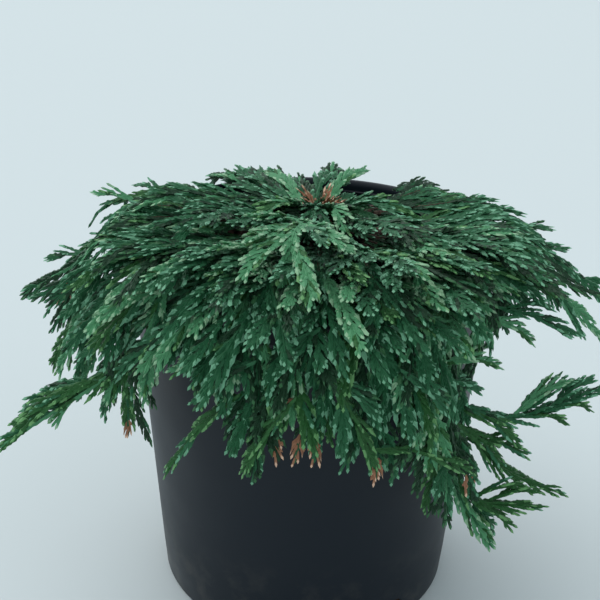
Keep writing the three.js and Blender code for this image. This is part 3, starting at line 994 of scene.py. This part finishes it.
class JuniperWoodSettings(bpy.types.PropertyGroup):
    trunk_relief: length_property("Trunk relief", "Height of the bark's ridges on the trunk", 0.7)
    bough_relief: length_property("Bough relief", "Height of the bark's ridges on a bough", 0.22)
    furrow: colour_property("Furrow", "Colour between the bark's strips", "#2c2019")
    strip: colour_property("Strip", "Colour of the bark's strips", "#5f4e40")


class JuniperFoliageSettings(bpy.types.PropertyGroup):
    finger_step: length_property("Finger step", "Distance between fingers along an axis", 2.3)
    finger_length: length_property("Finger length", "Longest finger", 14)
    finger_width: length_property("Finger width", "Width of a finger without its lobes", 2.0)
    scale_length: length_property("Scale leaf", "Length of a pair of scale leaves", 1.8)
    lobe_step: length_property("Lobe step", "Distance between lobes along a finger", 2.2)
    lobe_length: length_property("Lobe length", "Longest lobe", 3.5)
    lobe_width: length_property("Lobe width", "Width of a lobe", 1.6)
    young_and_highlight_share: FloatProperty(
        name="Young from", description="Share of a finger's length after which its lobes have light tips",
        default=0.55, min=0, max=1, subtype="FACTOR",
    )
    # Each green has a body colour and a lighter tip colour. The body colours are darkened as painted shade in
    # the gaps between fingers; the tips are lighter partly as young growth and partly as painted highlight.
    blue_green: colour_property("Blue green", "Most sprays", "#215d3a")
    blue_green_tip: colour_property("Blue green tip", "Tips of most sprays", "#659c7b")
    # Deep green is older foliage, and also painted shade where it goes to the sprays along the boughs inside
    # the crown and to half of those at the back.
    deep_green: colour_property("Deep green", "Older, shaded sprays", "#0e361d")
    deep_green_tip: colour_property("Deep green tip", "Tips of older sprays", "#2e6039")
    bright_green: colour_property("Bright green", "Hanging sprays", "#255a2a")
    bright_green_tip: colour_property("Bright green tip", "Tips of hanging sprays", "#5f925a")
    new_growth: colour_property("New growth", "Young sprays", "#4c8b60")
    new_growth_tip: colour_property("New growth tip", "Tips of young sprays", "#85ad88")
    dry: colour_property("Dry", "Dead fingers", "#96694e")
    dry_tip: colour_property("Dry tip", "Tips of dead fingers", "#d8b297")


class JuniperStageSettings(bpy.types.PropertyGroup):
    floor: colour_property("Floor", "Colour of the plain floor", "#c8d0d1")
    sky: colour_property("Sky", "Colour of the overcast sky", "#e2edf3")
    sky_strength: FloatProperty(name="Sky strength", description="Light of the sky", default=0.9, min=0)
    sun_strength: FloatProperty(name="Sun strength", description="Light of the soft sun", default=1.6, min=0)
    sun_spread: FloatProperty(
        name="Sun spread", description="Width of the soft sun", default=math.radians(80), subtype="ANGLE"
    )


class OBJECT_OT_juniper_pot(bpy.types.Operator):
    """Turn the black nursery pot on its lathe profile and cut its drain slots"""

    bl_idname = "object.juniper_pot"
    bl_label = "Nursery pot"

    def execute(self, context):
        settings = context.scene.juniper_pot
        band = POT_HEIGHT - BAND
        rim = settings.rim_radius / MM
        ribs = []
        for number in range(RIB_COUNT):
            height = POT_HEIGHT - FIRST_RIB - number * RIB_STEP
            face = rim - LIP
            ribs += [(face, height + RIB_FOOT), (face - RIB_HEIGHT, height + RIB_CREST)]
            ribs += [(face - RIB_HEIGHT, height - RIB_CREST), (face, height - RIB_FOOT)]
        profile = [
            (0, 0), (FOOT_RADIUS - 2, 0), (FOOT_RADIUS - 0.5, 0.5), (FOOT_RADIUS - 0.1, 1.5),
            *[(wall_radius(height), height) for height in [*WALL_RINGS, band - 2]],
            (wall_radius(band) + 0.15, band - 0.4), (rim - 2.3, band + 1.4),
            (rim - 2, band + 2.4), (rim - 1.7, POT_HEIGHT - 6), (rim - 0.9, POT_HEIGHT - 4.7),
            (rim - 0.15, POT_HEIGHT - 4.1), (rim, POT_HEIGHT - 3), (rim, POT_HEIGHT - 1.4),
            (rim - 0.5, POT_HEIGHT - 0.35), (rim - 1.5, POT_HEIGHT), (rim - 2.8, POT_HEIGHT - 0.1),
            (rim - 3.7, POT_HEIGHT - 0.9), (rim - 4.2, POT_HEIGHT - 2.6), *ribs,
            (wall_radius(band) - WALL, band - 1),
            *[(wall_radius(height) - WALL, height) for height in [*WALL_RINGS[1::-1], FLOOR_TOP]],
            (0, FLOOR_TOP),
        ]
        pot = piece_from(turned(profile, settings.turns), "nursery_pot", moulded_polyethylene(settings))
        cut_slots(context, pot)
        pot.data.set_sharp_from_angle(angle=SHARP_EDGE)
        finish_piece(pot, "pot_plastic", "pot")
        return {"FINISHED"}


def cut_slots(context, pot):
    """The drain slots, with round top corners, through the wall low down."""
    bm = bmesh.new()
    low, high = HOLE_LOW * MM, HOLE_HIGH * MM
    middle = (low + high) / 2
    for i in range(HOLE_COUNT):
        made = bmesh.ops.create_cube(bm, size=1)["verts"]
        bmesh.ops.scale(bm, verts=made, vec=(HOLE_WIDTH * MM, HOLE_DEPTH * MM, high - low))
        bmesh.ops.translate(bm, verts=made, vec=(0, -FOOT_RADIUS * MM, middle))
        corners = [
            edge for edge in edges_of(made)
            if all(vert.co.z > middle for vert in edge.verts)
            and abs(edge.verts[0].co.x - edge.verts[1].co.x) < TOUCH
        ]
        bevelled = bmesh.ops.bevel(
            bm, geom=corners, offset=HOLE_CORNER * MM, segments=6, profile=0.5, affect="EDGES", material=-1
        )
        whole = [vert for vert in dict.fromkeys([*made, *bevelled["verts"]]) if vert.is_valid]
        turn = Matrix.Rotation(math.radians(FIRST_HOLE + 90 + i * 360 / HOLE_COUNT), 3, "Z")
        bmesh.ops.rotate(bm, verts=whole, cent=(0, 0, 0), matrix=turn)
    bmesh.ops.recalc_face_normals(bm, faces=bm.faces)
    cutter = piece_from(bm, "slot_cutter", pot.data.materials[0], False)
    cut = pot.modifiers.new("slots", "BOOLEAN")
    cut.operation, cut.solver, cut.object = "DIFFERENCE", "EXACT", cutter
    context.view_layer.update()
    finished = pot.evaluated_get(context.evaluated_depsgraph_get())
    mesh = bpy.data.meshes.new_from_object(finished)
    pot.modifiers.clear()
    pot.data = mesh
    bpy.data.objects.remove(cutter)


def moulded_polyethylene(settings):
    """Black polyethylene, injection moulded: a soft sheen that greys at grazing angles, a fine grain from
    the mould, faint scuffs, and a trace of dry compost dust near the foot."""
    made, tree, shader = material(
        "moulded_black_polyethylene", settings.plastic, 0.42, Specular_IOR_Level=0.27
    )
    place = node(tree, "ShaderNodeTexCoord").outputs["Object"]
    height = node(tree, "ShaderNodeSeparateXYZ", [("Vector", place)]).outputs["Z"]
    low = node(tree, "ShaderNodeMapRange", [("Value", height)], From_Max=0.045, To_Min=0.5, To_Max=0.0)
    blotch = node(
        tree, "ShaderNodeTexNoise", [("Vector", place)], Scale=grains(DUST_PATCH), Detail=6.0, Roughness=0.65
    )
    patch = node(tree, "ShaderNodeMapRange", [("Value", blotch.outputs["Fac"])], From_Min=0.5, From_Max=0.78)
    share = node(
        tree,
        "ShaderNodeMath",
        [("Value", low.outputs["Result"]), ("Value_001", patch.outputs["Result"])],
        operation="MULTIPLY",
    )
    colour = node(
        tree,
        "ShaderNodeMix",
        [("Factor_Float", share.outputs["Value"])],
        data_type="RGBA",
        A_Color=settings.plastic,
        B_Color=settings.dust,
    )
    tree.links.new(colour.outputs[2], shader.inputs["Base Color"])
    scuff = node(tree, "ShaderNodeTexNoise", [("Vector", place)], Scale=grains(SCUFF), Detail=5.0)
    rough = node(
        tree,
        "ShaderNodeMapRange",
        [("Value", scuff.outputs["Fac"])],
        From_Min=0.3,
        From_Max=0.7,
        To_Min=0.37,
        To_Max=0.5,
    )
    tree.links.new(rough.outputs["Result"], shader.inputs["Roughness"])
    grain = node(tree, "ShaderNodeTexNoise", [("Vector", place)], Scale=grains(MOULD_GRAIN), Detail=3.0)
    bump = node(tree, "ShaderNodeBump", [("Height", grain.outputs["Fac"])], Strength=0.1, Distance=0.0002)
    tree.links.new(bump.outputs["Normal"], shader.inputs["Normal"])
    return made


class OBJECT_OT_juniper_compost(bpy.types.Operator):
    """Fill the pot with damp bark compost and scatter bark chips on it"""

    bl_idname = "object.juniper_compost"
    bl_label = "Compost"

    def execute(self, context):
        settings = context.scene.juniper_compost
        look = bark_compost(settings)
        edge = wall_radius(COMPOST_TOP) - COMPOST_GAP
        top = [(reach, self.height(reach)) for reach in np.linspace(10, edge, 26)]
        foot = (wall_radius(FLOOR_TOP) - COMPOST_GAP, FLOOR_TOP)
        bm = turned([(0, COMPOST_TOP), *top, foot, (0, FLOOR_TOP)], 120)
        lowest = (COMPOST_TOP - COMPOST_SINK - 0.2) * MM
        for vert in bm.verts:
            if vert.co.z > lowest and math.hypot(vert.co.x, vert.co.y) > TRUNK_CLEARANCE * MM:
                coarse, fine = (noise.noise(vert.co * lumps) for lumps in LUMPS_PER_METRE)
                vert.co.z += settings.relief * (0.5 * coarse + 0.4 * fine - 0.2)
        finish_piece(piece_from(bm, "compost_fill", look, False), "compost", "compost")
        finish_piece(self.chips(settings, look, edge), "compost")
        return {"FINISHED"}

    def height(self, reach):
        """The compost is flat round the trunk and sinks a little towards the wall."""
        return COMPOST_TOP - COMPOST_SINK * smooth(COMPOST_LEVEL, wall_radius(COMPOST_TOP), reach)

    def chips(self, settings, look, edge):
        """Loose chips: thin slabs with one end narrower, from one array."""
        rng = np.random.default_rng(CHIP_SEED)
        count = settings.chips
        reach = np.sqrt(rng.uniform(TRUNK_CLEARANCE**2, (edge - 5) ** 2, count))
        turn, yaw = rng.uniform(0, math.tau, (2, count))
        centre = np.stack([reach * np.cos(turn), reach * np.sin(turn), self.height(reach) + 0.5], axis=1)
        rise = rng.uniform(-CHIP_TILT, CHIP_TILT, count)
        long_way = unit(np.stack([np.cos(yaw), np.sin(yaw), rise], axis=1))
        tilt = UP * rng.uniform(-CHIP_TILT, CHIP_TILT, (count, 1))
        wide_way = unit(np.cross(np.tile(UP, (count, 1)), long_way) + tilt)
        thick_way = np.cross(long_way, wide_way)
        size = settings.chip_length / MM * rng.uniform(0.3, 1, (count, 1)) ** 1.5
        corners = []
        for end, narrow in ((-1, 1.0), (1, CHIP_TAPER)):
            for a, b in ((-1, -1), (1, -1), (1, 1), (-1, 1)):
                corners.append(
                    centre + long_way * end * size / 2
                    + wide_way * a * narrow * size * CHIP_WIDTH
                    + thick_way * b * narrow * size * CHIP_THICKNESS
                )
        sides = [[0, 3, 2, 1], [4, 5, 6, 7], [0, 1, 5, 4], [1, 2, 6, 5], [2, 3, 7, 6], [3, 0, 4, 7]]
        faces = np.array([[q[0], q[k], q[k + 1]] for q in sides for k in (1, 2)])
        places, faces = repeated(np.stack(corners, axis=1), faces)
        return joined("bark_chips", [(places, faces, np.zeros(len(faces), int))], [look])


def bark_compost(settings):
    """Composted bark and peat: dull and damp, dark crumbs with paler flecks of bark."""
    made, tree, shader = material("bark_compost", settings.peat, 0.92, IOR=1.4)
    place = node(tree, "ShaderNodeTexCoord").outputs["Object"]
    crumbs = node(tree, "ShaderNodeTexVoronoi", [("Vector", place)], Scale=grains(CRUMB))
    flecks = node(tree, "ShaderNodeTexNoise", [("Vector", place)], Scale=grains(BARK_FLECK), Detail=4.0)
    share = node(tree, "ShaderNodeMapRange", [("Value", flecks.outputs["Fac"])], From_Min=0.42, From_Max=0.7)
    colour = node(
        tree,
        "ShaderNodeMix",
        [("Factor_Float", share.outputs["Result"])],
        data_type="RGBA",
        A_Color=settings.peat,
        B_Color=settings.bark,
    )
    tree.links.new(colour.outputs[2], shader.inputs["Base Color"])
    bump = node(
        tree, "ShaderNodeBump", [("Height", crumbs.outputs["Distance"])], Strength=0.5, Distance=0.0006
    )
    tree.links.new(bump.outputs["Normal"], shader.inputs["Normal"])
    return made


class OBJECT_OT_juniper_wood(bpy.types.Operator):
    """Grow the trunk and boughs, with their bark's relief"""

    bl_idname = "object.juniper_wood"
    bl_label = "Trunk and boughs"

    def execute(self, context):
        settings = context.scene.juniper_wood
        bm = bmesh.new()
        heights = np.linspace(COMPOST_TOP, TRUNK_TOP, 30)
        places = np.array([trunk_heart(h) * [1, 1, 0] + UP * h for h in heights])
        profile = np.interp(heights, np.linspace(COMPOST_TOP, TRUNK_TOP, len(TRUNK_PROFILE)), TRUNK_PROFILE)
        headings = np.tile(UP, (len(heights), 1))
        bark_limb(bm, places, headings, EAST, profile, 48, settings.trunk_relief / MM)
        for number, specs in enumerate(BOUGHS.values()):
            places, headings, _ = evenly(bough_course(number, bough_azimuth(specs)), 22)
            radii = np.linspace(BOUGH_RADIUS, BOUGH_TIP_RADIUS, len(places))
            bark_limb(bm, places, headings, UP, radii, 14, settings.bough_relief / MM)
        bmesh.ops.recalc_face_normals(bm, faces=bm.faces)
        wood = piece_from(bm, "trunk_and_boughs", juniper_bark(settings))
        finish_piece(wood, "bark", "trunk", *["bough_" + name for name in BOUGHS])
        return {"FINISHED"}


def bark_limb(bm, places, headings, rise, radii, sides, relief):
    """A limb, extruded ring by ring along its course, with stringy strips of bark that run along it."""
    travelled = 0
    previous = None
    for number, (place, along, radius) in enumerate(zip(places, headings, radii)):
        side = unit(np.cross(along, rise))
        over = np.cross(side, along)
        ring_frame = Matrix((side, over, along)).transposed().to_4x4()
        ring_frame.translation = Vector(place * MM)
        if previous is None:
            verts = bmesh.ops.create_circle(bm, cap_ends=True, segments=sides, radius=1)["verts"]
            edges = edges_of(verts)
        else:
            travelled += np.linalg.norm(place - places[number - 1])
            made = bmesh.ops.extrude_edge_only(bm, edges=edges)["geom"]
            verts = [each for each in made if isinstance(each, bmesh.types.BMVert)]
            ends = set(verts)
            edges = [each for each in made if isinstance(each, bmesh.types.BMEdge)]
            edges = [edge for edge in edges if ends.issuperset(edge.verts)]
            bmesh.ops.transform(bm, matrix=previous.inverted(), verts=verts)
        for vert in verts:
            turn = math.atan2(vert.co.y, vert.co.x)
            x, y = math.cos(turn), math.sin(turn)
            strip = noise.noise(Vector((STRIPS_ROUND * x, STRIPS_ROUND * y, travelled * STRIP_RUN + radius)))
            reach = (radius - relief * min(1, abs(strip) * STRIP_CONTRAST)) * MM
            vert.co = (reach * x, reach * y, 0)
        bmesh.ops.transform(bm, matrix=ring_frame, verts=verts)
        previous = ring_frame
    bmesh.ops.edgeloop_fill(bm, edges=edges)


def juniper_bark(settings):
    """Juniper bark: thin fibrous strips, dull red-brown that weathers to grey, darker in the furrows."""
    made, tree, shader = material("juniper_bark", settings.strip, 0.9, IOR=1.45)
    place = node(tree, "ShaderNodeTexCoord").outputs["Object"]
    fibres = node(
        tree, "ShaderNodeTexNoise", [("Vector", place)], Scale=grains(BARK_FIBRE), Detail=6.0, Roughness=0.7
    )
    share = node(tree, "ShaderNodeMapRange", [("Value", fibres.outputs["Fac"])], From_Min=0.36, From_Max=0.66)
    colour = node(
        tree,
        "ShaderNodeMix",
        [("Factor_Float", share.outputs["Result"])],
        data_type="RGBA",
        A_Color=settings.furrow,
        B_Color=settings.strip,
    )
    tree.links.new(colour.outputs[2], shader.inputs["Base Color"])
    bump = node(tree, "ShaderNodeBump", [("Height", fibres.outputs["Fac"])], Strength=0.6, Distance=0.0005)
    tree.links.new(bump.outputs["Normal"], shader.inputs["Normal"])
    return made


FOLIAGE_KINDS = ["blue_green", "deep_green", "bright_green", "new_growth", "dry"]

# The shares of blue, of blue or deep, and of all but new growth, among shoots high up and among the lowest.
# Every third shoot stands higher than its stem, and is blue more often.
HIGH_TONES = [0.42, 0.74, 0.82]
LOW_TONES = [0.12, 0.56, 0.97]
RAISED_BLUE = 0.3
LIGHTEST_NEW = 0.7
TONE_DRAW = 7
SPARE_DRAW = 8
STEM_TONE = 99

# Half the width at root and tip of a stem, a crown spray, a placed one and a bough's own.
STEM_HALF = [1.7, 1.2]
CROWN_HALF = [1.2, 0.9]
PLACED_HALF = [1.3, 1.0]
BOUGH_HALF = [1.9, 1.8]

# Half the width of a short and of a long shoot at the root, and of both at the tip.
SHOOT_HALF = [0.95, 1.25]
SHOOT_TIP_HALF = 0.9

# The share at the root without fingers.
STEM_BARE = 0.02
SHOOT_BARE = 0.06
PLACED_BARE = 0.05
BOUGH_BARE = 0.3

# The longest finger of a placed spray and of a bough's own. Those of a shoot grow with its length.
PLACED_FINGER = 12.5
BOUGH_FINGER = 8.5
SHOOT_FINGER = 0.36
LEAST_FINGER = 7

# The wood inside a stem: its share of the length, and its radius at both ends.
WOODY_SHARE = 0.5
TWIG_RADII = [1.2, 0.8]


class OBJECT_OT_juniper_foliage(bpy.types.Operator):
    """Grow the sprays of scale leaves and the twigs that carry them"""

    bl_idname = "object.juniper_foliage"
    bl_label = "Foliage"

    def execute(self, context):
        settings = context.scene.juniper_foliage
        looks = {kind: scale_leaves(kind, settings) for kind in FOLIAGE_KINDS}
        bark = bpy.data.materials["juniper_bark"]
        leaves, twigs, nodes = {}, {}, {}
        for mass in all_masses():
            nodes.setdefault(mass["bough"], []).append(mass["name"])
            rng = np.random.default_rng(MASS_SEED + mass["number"])
            stem, left = stem_of(mass, settings)
            shoots = shoots_of(mass, settings, left)
            keep = ~inside_pot(shoots.places[:, 3:]).any(axis=1) & (shoots.length > SHORTEST_SHOOT)
            chunks = grown(stem, STEM_STEP, settings, rng, np.array([True]))
            chunks += grown(shoots, AXIS_STEP, settings, rng, keep)
            deal_out(chunks, mass["bough"], leaves)
            twigs.setdefault(mass["bough"], []).append(twig_of(stem))
        for bough, sprays in [crown_sprays(), *placed_sprays(), *bough_sprays()]:
            rng = np.random.default_rng(SPRAY_SEED)
            deal_out(grown(sprays, AXIS_STEP, settings, rng, sprays.length > SHORTEST_SHOOT), bough, leaves)
        for (bough, kind), chunks in leaves.items():
            piece = joined(f"leaves_{bough}_{kind}", chunks, looks[kind])
            finish_piece(piece, "foliage_" + kind, *nodes[bough])
        for bough, chunks in twigs.items():
            finish_piece(joined(f"twigs_{bough}", chunks, [bark]), "bark")
        return {"FINISHED"}


def grown(sprays, step, settings, rng, keep):
    """The axes that are kept, with their fingers and lobes."""
    return grow_axes(sprays, step, keep) + grow_fingers(sprays, settings, rng, keep)


def scale_leaves(kind, settings):
    """Juniper scale leaves: a tight waxy skin, half matt with a faint pale bloom; a body darkened as painted
    shade and a tip lighter as young growth and painted highlight.
    """
    looks = []
    for part in ("", "_tip"):
        colour = getattr(settings, kind + part)
        name = f"waxy_scale_leaves_{kind}{part}"
        made, _, _ = material(name, colour, 0.55, Sheen_Weight=0.06, Specular_IOR_Level=0.35, IOR=1.42)
        looks.append(made)
    return looks


def tones(mass, index, hang):
    """Which green each shoot takes. The lower it hangs, the less blue it is."""
    draw = chance(mass["number"], index, TONE_DRAW)
    if mass["name"] == LIGHTEST:
        return np.where(draw < LIGHTEST_NEW, NEW, BLUE)
    blue, deep, bright = (mix(high, low, hang) for high, low in zip(HIGH_TONES, LOW_TONES))
    limits = [blue + RAISED_BLUE * (index % 3 == 2), deep, bright]
    return np.select([draw < limit for limit in limits], [BLUE, DEEP, BRIGHT], NEW)


def hang_of(height):
    """How low a tip hangs, from 0 to 1."""
    return np.clip((HANGING[0] - height) / (HANGING[0] - HANGING[1]), 0, 1)


def stem_of(mass, settings):
    """A mass's stem, and the share of it that is left where the photograph's outline cuts it."""
    stations, headings, length = evenly(mass["stem"], STATIONS)
    places, left = trimmed(settled(stations)[None], np.array([FREE if mass["whole"] else STEM_SPARE]))
    faces = face_of(mass["across"], headings)
    stem = Sprays(
        places=places,
        faces=faces[None],
        length=length * left,
        finger=np.array([settings.finger_length / MM * 0.85]),
        bare=np.array([STEM_BARE]),
        half=np.array([STEM_HALF]),
        colour=tones(mass, np.array([STEM_TONE]), hang_of(stations[-1, 2])),
        axis_colour=np.array([NEW if mass["number"] % 2 else BLUE]),
        spare=np.array([STEM_FINGER_SPARE]),
    )
    return stem, left[0]


def shoots_of(mass, settings, stem_left):
    """A mass's shoots, without those that stood on the part of the stem that was cut."""
    _, _, stem_length = evenly(mass["stem"], STATIONS)
    root, middle, end, out, size, t_root = shoot_controls(mass, stem_length)
    t = np.linspace(0, 1, STATIONS)[None, :, None]
    places = (1 - t) ** 2 * root[:, None] + 2 * t * (1 - t) * middle[:, None] + t**2 * end[:, None]
    spare = mix(*SPARE, chance(mass["number"], np.arange(len(size)), SPARE_DRAW))
    places, left = trimmed(settled(places), spare)
    left = left * (t_root < stem_left)
    colour = tones(mass, np.arange(len(size)), hang_of(end[:, 2]))
    return Sprays(
        places=places,
        faces=np.repeat(out[:, None], STATIONS, axis=1),
        length=size * 1.05 * left,
        finger=np.clip(size * SHOOT_FINGER, LEAST_FINGER, settings.finger_length / MM),
        bare=np.full(len(size), SHOOT_BARE),
        half=np.stack([mix(*SHOOT_HALF, smooth(20, 50, size)), np.full(len(size), SHOOT_TIP_HALF)], axis=1),
        colour=colour,
        axis_colour=colour,
        spare=spare,
    )


def crown_sprays():
    """The short sprays round the trunk's head."""
    index = np.arange(CROWN_SPRAYS)
    places, faces, lengths = [], [], []
    for i, reach in enumerate(mix(*CROWN_SPRAY_REACH, chance(0, index, 1))):
        azimuth = i * GOLDEN_ANGLE
        front = (0.5 - 0.5 * math.sin(math.radians(azimuth))) * smooth(10, 42, reach)
        crest = mix(*CROWN_SPRAY_CRESTS, front) + mix(-3, 2, chance(0, i, 2))
        stations, headings, length = evenly(through([
            at(azimuth, 3, TRUNK_TOP + 1, CROWN),
            at(azimuth, reach * 0.55, crest, CROWN),
            at(azimuth, reach, crest - mix(0, 7, chance(0, i, 3)), CROWN),
        ]), STATIONS)
        places.append(stations)
        faces.append(face_of(across(azimuth), headings))
        lengths.append(length)
    spare = np.full(len(index), INNER_SPARE)
    places, left = trimmed(np.array(places), spare)
    lengths = np.array(lengths) * left
    colour = np.array([BLUE, DEEP, BRIGHT, BLUE, DEEP, NEW])[index % 6]
    return "crown", Sprays(
        places=places,
        faces=np.array(faces),
        length=lengths,
        finger=np.clip(lengths * 0.3, 6, 11),
        bare=np.full(len(index), STEM_BARE),
        half=np.tile(CROWN_HALF, (len(index), 1)),
        colour=colour,
        axis_colour=colour,
        spare=spare,
    )


def single_spray(course, sideways, finger, bare, half, colour, spare):
    """One spray along a course."""
    stations, headings, length = evenly(course, STATIONS)
    return Sprays(
        places=stations[None],
        faces=face_of(sideways, headings)[None],
        length=np.array([length]),
        finger=np.array([finger]),
        bare=np.array([bare]),
        half=np.array([half]),
        colour=np.array([colour]),
        axis_colour=np.array([colour]),
        spare=np.array([spare]),
    )


def back_plumes():
    """The plumes that hang behind the pot, as placed shoots are given."""
    for turn, tip_turn, tip in BACK_PLUMES:
        bough = next(name for limit, name in BACK_BOUGHS if turn < limit)
        on_rim = (turn, RIM_RADIUS, POT_HEIGHT + BACK_RISE)
        yield bough, (turn, *BACK_ROOT), on_rim, (tip_turn, BACK_REACH, tip)


def low_sprays():
    """The low sprays over the compost, as placed shoots are given."""
    for turn in LOW_AZIMUTHS:
        reach = LOW_REACH - LOW_SHORTER * (turn % 2)
        yield "crown", (turn, *LOW_ROOT), (turn + LOW_TURN, *LOW_MIDDLE), (turn, reach, LOW_HEIGHT)


def placed_sprays():
    """Sprays along the courses set above. A straight one arches a little, and half of those at the back are
    deep green: older foliage, and painted shade behind the pot and under the rim."""
    for number, (bough, *course) in enumerate([*PLACED_SHOOTS, *back_plumes(), *low_sprays()]):
        course = [at(*place) for place in course]
        root, tip = course[0], course[-1]
        if len(course) == 2:
            course.insert(1, (root + tip) / 2 + UP * np.linalg.norm(tip - root) * PLACED_ARCH)
        sideways = unit(np.cross(UP, tip - root))
        colour = BRIGHT if tip[2] < BRIGHT_BELOW else NEW if number % 3 == 1 else BLUE
        if number >= len(PLACED_SHOOTS) and number % 2:
            colour = DEEP
        spray = single_spray(
            through(course), sideways, PLACED_FINGER, PLACED_BARE, PLACED_HALF, colour, FREE
        )
        yield bough, spray


def bough_sprays():
    """A dark spray along each bough, so that the wood isn't bare inside the crown; its deep green is older
    foliage and painted shade.
    """
    for number, (bough, specs) in enumerate(BOUGHS.items()):
        azimuth = bough_azimuth(specs)
        course = bough_course(number, azimuth)
        spray = single_spray(
            course, across(azimuth), BOUGH_FINGER, BOUGH_BARE, BOUGH_HALF, DEEP, INNER_SPARE
        )
        yield bough, spray


def twig_of(stem):
    """The wood inside a stem, as far as it has turned brown."""
    woody = round(STATIONS * WOODY_SHARE)
    radius = np.linspace(*TWIG_RADII, woody)[None]
    places, faces = repeated(*tubes(
        stem.places[:, :woody], stem.headings[:, :woody], stem.faces[:, :woody], radius
    ))
    return places, faces, np.zeros(len(faces), int)


def deal_out(chunks, bough, leaves):
    """Adds each chunk's shapes to the piece of their bough and green."""
    for places, faces, colours, tips in chunks:
        for index in np.unique(colours):
            pick = colours == index
            p, f = repeated(places[pick], faces)
            piece = leaves.setdefault((bough, FOLIAGE_KINDS[index]), [])
            piece.append((p, f, np.tile(tips, pick.sum())))


class OBJECT_OT_juniper_stage(bpy.types.Operator):
    """Set the pale floor, the soft light and the camera"""

    bl_idname = "object.juniper_stage"
    bl_label = "Stage"

    def execute(self, context):
        scene = context.scene
        settings = scene.juniper_stage
        scene.view_settings.view_transform = "Standard"
        bm = bmesh.new()
        bmesh.ops.create_grid(bm, x_segments=1, y_segments=1, size=FLOOR_SIZE)
        made, _, _ = material("pale_floor", settings.floor, 0.9)
        piece_from(bm, "floor", made)

        world = bpy.data.worlds.new("overcast_sky")
        world.use_nodes = True
        sky = world.node_tree.nodes["Background"]
        sky.inputs["Color"].default_value = settings.sky
        sky.inputs["Strength"].default_value = settings.sky_strength
        scene.world = world
        sun_data = bpy.data.lights.new("soft_sun", "SUN")
        sun_data.energy, sun_data.angle = settings.sun_strength, settings.sun_spread
        sun = bpy.data.objects.new("soft_sun", sun_data)
        sun.rotation_euler = SUN_PLACE.to_track_quat("Z", "Y").to_euler()
        scene.collection.objects.link(sun)

        back = Vector((0, -math.cos(CAMERA_ELEVATION), math.sin(CAMERA_ELEVATION)))
        level = Vector((1, 0, 0))
        over = back.cross(level)
        right = level * math.cos(CAMERA_ROLL) + over * math.sin(CAMERA_ROLL)
        above = back.cross(right)
        data = bpy.data.cameras.new("camera")
        data.lens = CAMERA_LENS
        data.sensor_width = SENSOR_WIDTH
        camera = bpy.data.objects.new("camera", data)
        place = Matrix((right, above, back)).transposed().to_4x4()
        place.translation = CAMERA_TARGET + back * CAMERA_DISTANCE
        camera.matrix_world = place
        scene.collection.objects.link(camera)
        scene.camera = camera
        return {"FINISHED"}


class VIEW3D_PT_juniper(bpy.types.Panel):
    """Lists the operators, in the order in which they build the plant"""

    bl_label = "Juniper"
    bl_idname = "VIEW3D_PT_juniper"
    bl_space_type = "VIEW_3D"
    bl_region_type = "UI"
    bl_category = "Juniper"

    def draw(self, context):
        for operator in OPERATORS:
            self.layout.operator(operator.bl_idname)


OPERATORS = [
    OBJECT_OT_juniper_stage,
    OBJECT_OT_juniper_pot,
    OBJECT_OT_juniper_compost,
    OBJECT_OT_juniper_wood,
    OBJECT_OT_juniper_foliage,
]
SETTINGS = {
    "juniper_pot": JuniperPotSettings,
    "juniper_compost": JuniperCompostSettings,
    "juniper_wood": JuniperWoodSettings,
    "juniper_foliage": JuniperFoliageSettings,
    "juniper_stage": JuniperStageSettings,
}
CLASSES = [*SETTINGS.values(), *OPERATORS, VIEW3D_PT_juniper]


def register():
    for each in CLASSES:
        bpy.utils.register_class(each)
    for name, group in SETTINGS.items():
        setattr(bpy.types.Scene, name, PointerProperty(type=group))


def unregister():
    for name in SETTINGS:
        delattr(bpy.types.Scene, name)
    for each in reversed(CLASSES):
        bpy.utils.unregister_class(each)


def main():
    register()
    for operator in OPERATORS:
        group, name = operator.bl_idname.split(".")
        getattr(getattr(bpy.ops, group), name)()


if __name__ == "__main__":
    main()
